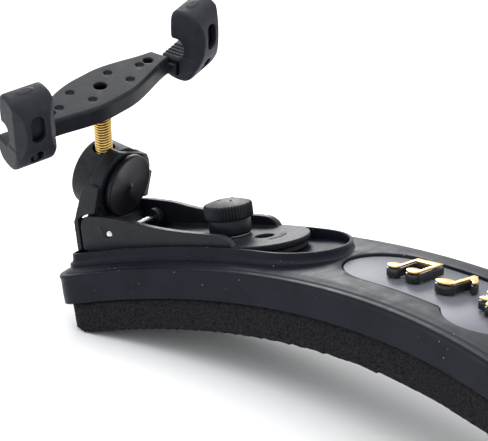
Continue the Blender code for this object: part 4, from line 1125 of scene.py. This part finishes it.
def make_boot(sign):
    """Rubber boot round a hook, with windows in its back and ribs on its lower jaw."""
    half = CLAW_HALF_WIDTH
    profile = smoothed(BOOT_PROFILE, 3, closed=True)
    rim = [(0.0, 0.6), (0.2, 0.25), (0.5, 0.06), (0.9, 0.0)]
    levels = [(-half + rise, inset) for rise, inset in rim]
    levels += [(half - rise, inset) for rise, inset in reversed(rim)]
    body = skin_loops([[(x, y, z) for x, z in (grown(profile, -inset) if inset else profile)]
                       for y, inset in levels])
    back = [(-4, -half - 1), (5.4, -half - 1), (9.2, -half + 2.8), (9.2, half - 2.8),
            (5.4, half + 1), (-4, half + 1)]
    body = combine(body, [prism(back, "Z", -8, 14)], "INTERSECT")
    oval = [(3.3 + 1.0 * cos(a), 1.9 * sin(a)) for a in [2 * pi * i / 32 for i in range(32)]]
    body = union(body, [prism(oval, "Z", 11.8, 12.45, 0.15)])
    slots = []
    for low, high in ((2.2, 8.4), (-4.0, -0.6)):
        outline = arc(1.6, 0, pi, 14, (0.0, high - 1.6))
        outline += arc(1.6, pi, 2 * pi, 14, (0.0, low + 1.6))
        slots.append(prism(outline, "X", 4.6, 10))
    for y in (-3.4, -2.2, -1.0, 0.2):
        slots.append(box((-4, y - 0.25, -0.35), (2.6, y + 0.25, 1.2)))
    slots.append(box((7.75, -10, 0.5), (12, 10, 0.9)))
    for y in (-6.0, half - 0.3):
        slots.append(box((-3, y, 0.5), (12, y + 6.3 - half, 0.9)))
    body = cut(body, slots + hook_solids(BOOT_GAP))
    tongue = box((4.9, -0.5, -3.4), (5.9, 0.5, -1.5))
    body = append(moulded(body, 0.18, 2, 0.35), [tongue])
    body = on_claw(body, sign)
    return mapped(body, lambda point: point + Vector((0, 0, FORK_RISE)))


def build_sides():
    add_pair("foot", make_foot(), NYLON, "foot", sharp=0)
    add_pair("slide_pad", make_slide_pad(), PAD_RUBBER, "foot")
    add_pair("hinge_pin", make_pin(), STEEL, "pin")
    add_pair("floor_insert", make_insert(), BRASS, "screw")
    add_pair("thumb_knob", make_knob(), NYLON, "screw", sharp=60)
    add_threaded("thumb_shank", SHANK_RADIUS, -7.6, 3.2, "screw", THREAD_STEEL)
    add_pair("thumb_washer", make_washer(), STEEL, "screw")
    add_pair("leg", make_leg(), NYLON, "leg", sharp=0)
    add_pair("drum", make_drum(), DRUM_NYLON, "drum")
    add_pair("drum_axle", make_axle(), CAP, "drum")
    add_pair("stud_bush", make_bush(), BRASS, "stud")
    add_threaded("fork_stud", STUD_RADIUS, STUD_BOTTOM, FORK_RISE - 1.5, "stud", THREAD_BRASS)
    add_pair("fork_bar", make_fork(), NYLON, "stud", sharp=0)
    add_pair("near_boot", make_boot(-1), RUBBER, "stud", sharp=0)
    add_pair("far_boot", make_boot(1), RUBBER, "stud", sharp=0)


# ---------------------------------------------------------------- stage

def build_stage():
    scene = bpy.context.scene
    bm = bmesh.new()
    corners = [(-4, -4, 0), (4, -4, 0), (4, 4, 0), (-4, 4, 0)]
    bm.faces.new([bm.verts.new(corner) for corner in corners])
    mesh = bpy.data.meshes.new("floor")
    bm.to_mesh(mesh)
    bm.free()
    mesh.materials.append(surface("pale_floor", (0.90, 0.90, 0.90), (0.92, 0.92, 0.92), 0.8,
                                  scale=3.0, specular=0.1))
    floor = bpy.data.objects.new("floor", mesh)
    floor.location = (0, 0, -0.0002)
    scene.collection.objects.link(floor)
    world = bpy.data.worlds.new("studio")
    world.use_nodes = True
    background = world.node_tree.nodes["Background"]
    background.inputs["Color"].default_value = (0.97, 0.985, 1.0, 1.0)
    background.inputs["Strength"].default_value = WORLD_STRENGTH
    scene.world = world
    for name, place, aim, size, power in LIGHTS:
        light = bpy.data.lights.new(name, "AREA")
        light.shape = "DISK"
        light.size = size
        light.energy = power
        lamp = bpy.data.objects.new(name, light)
        lamp.location = place
        lamp.rotation_euler = (Vector(aim) - Vector(place)).to_track_quat("-Z", "Y").to_euler()
        scene.collection.objects.link(lamp)
    camera_data = bpy.data.cameras.new("camera")
    camera_data.lens = CAMERA_LENS
    camera_data.sensor_width = 36.0
    camera_data.clip_start = 0.01
    camera = bpy.data.objects.new("camera", camera_data)
    camera.location = Vector(CAMERA_PLACE) * MM
    camera.rotation_euler = [radians(value) for value in CAMERA_TURN]
    scene.collection.objects.link(camera)
    scene.camera = camera
    scene.view_settings.view_transform = "Standard"


build_base()
build_sides()
build_stage()
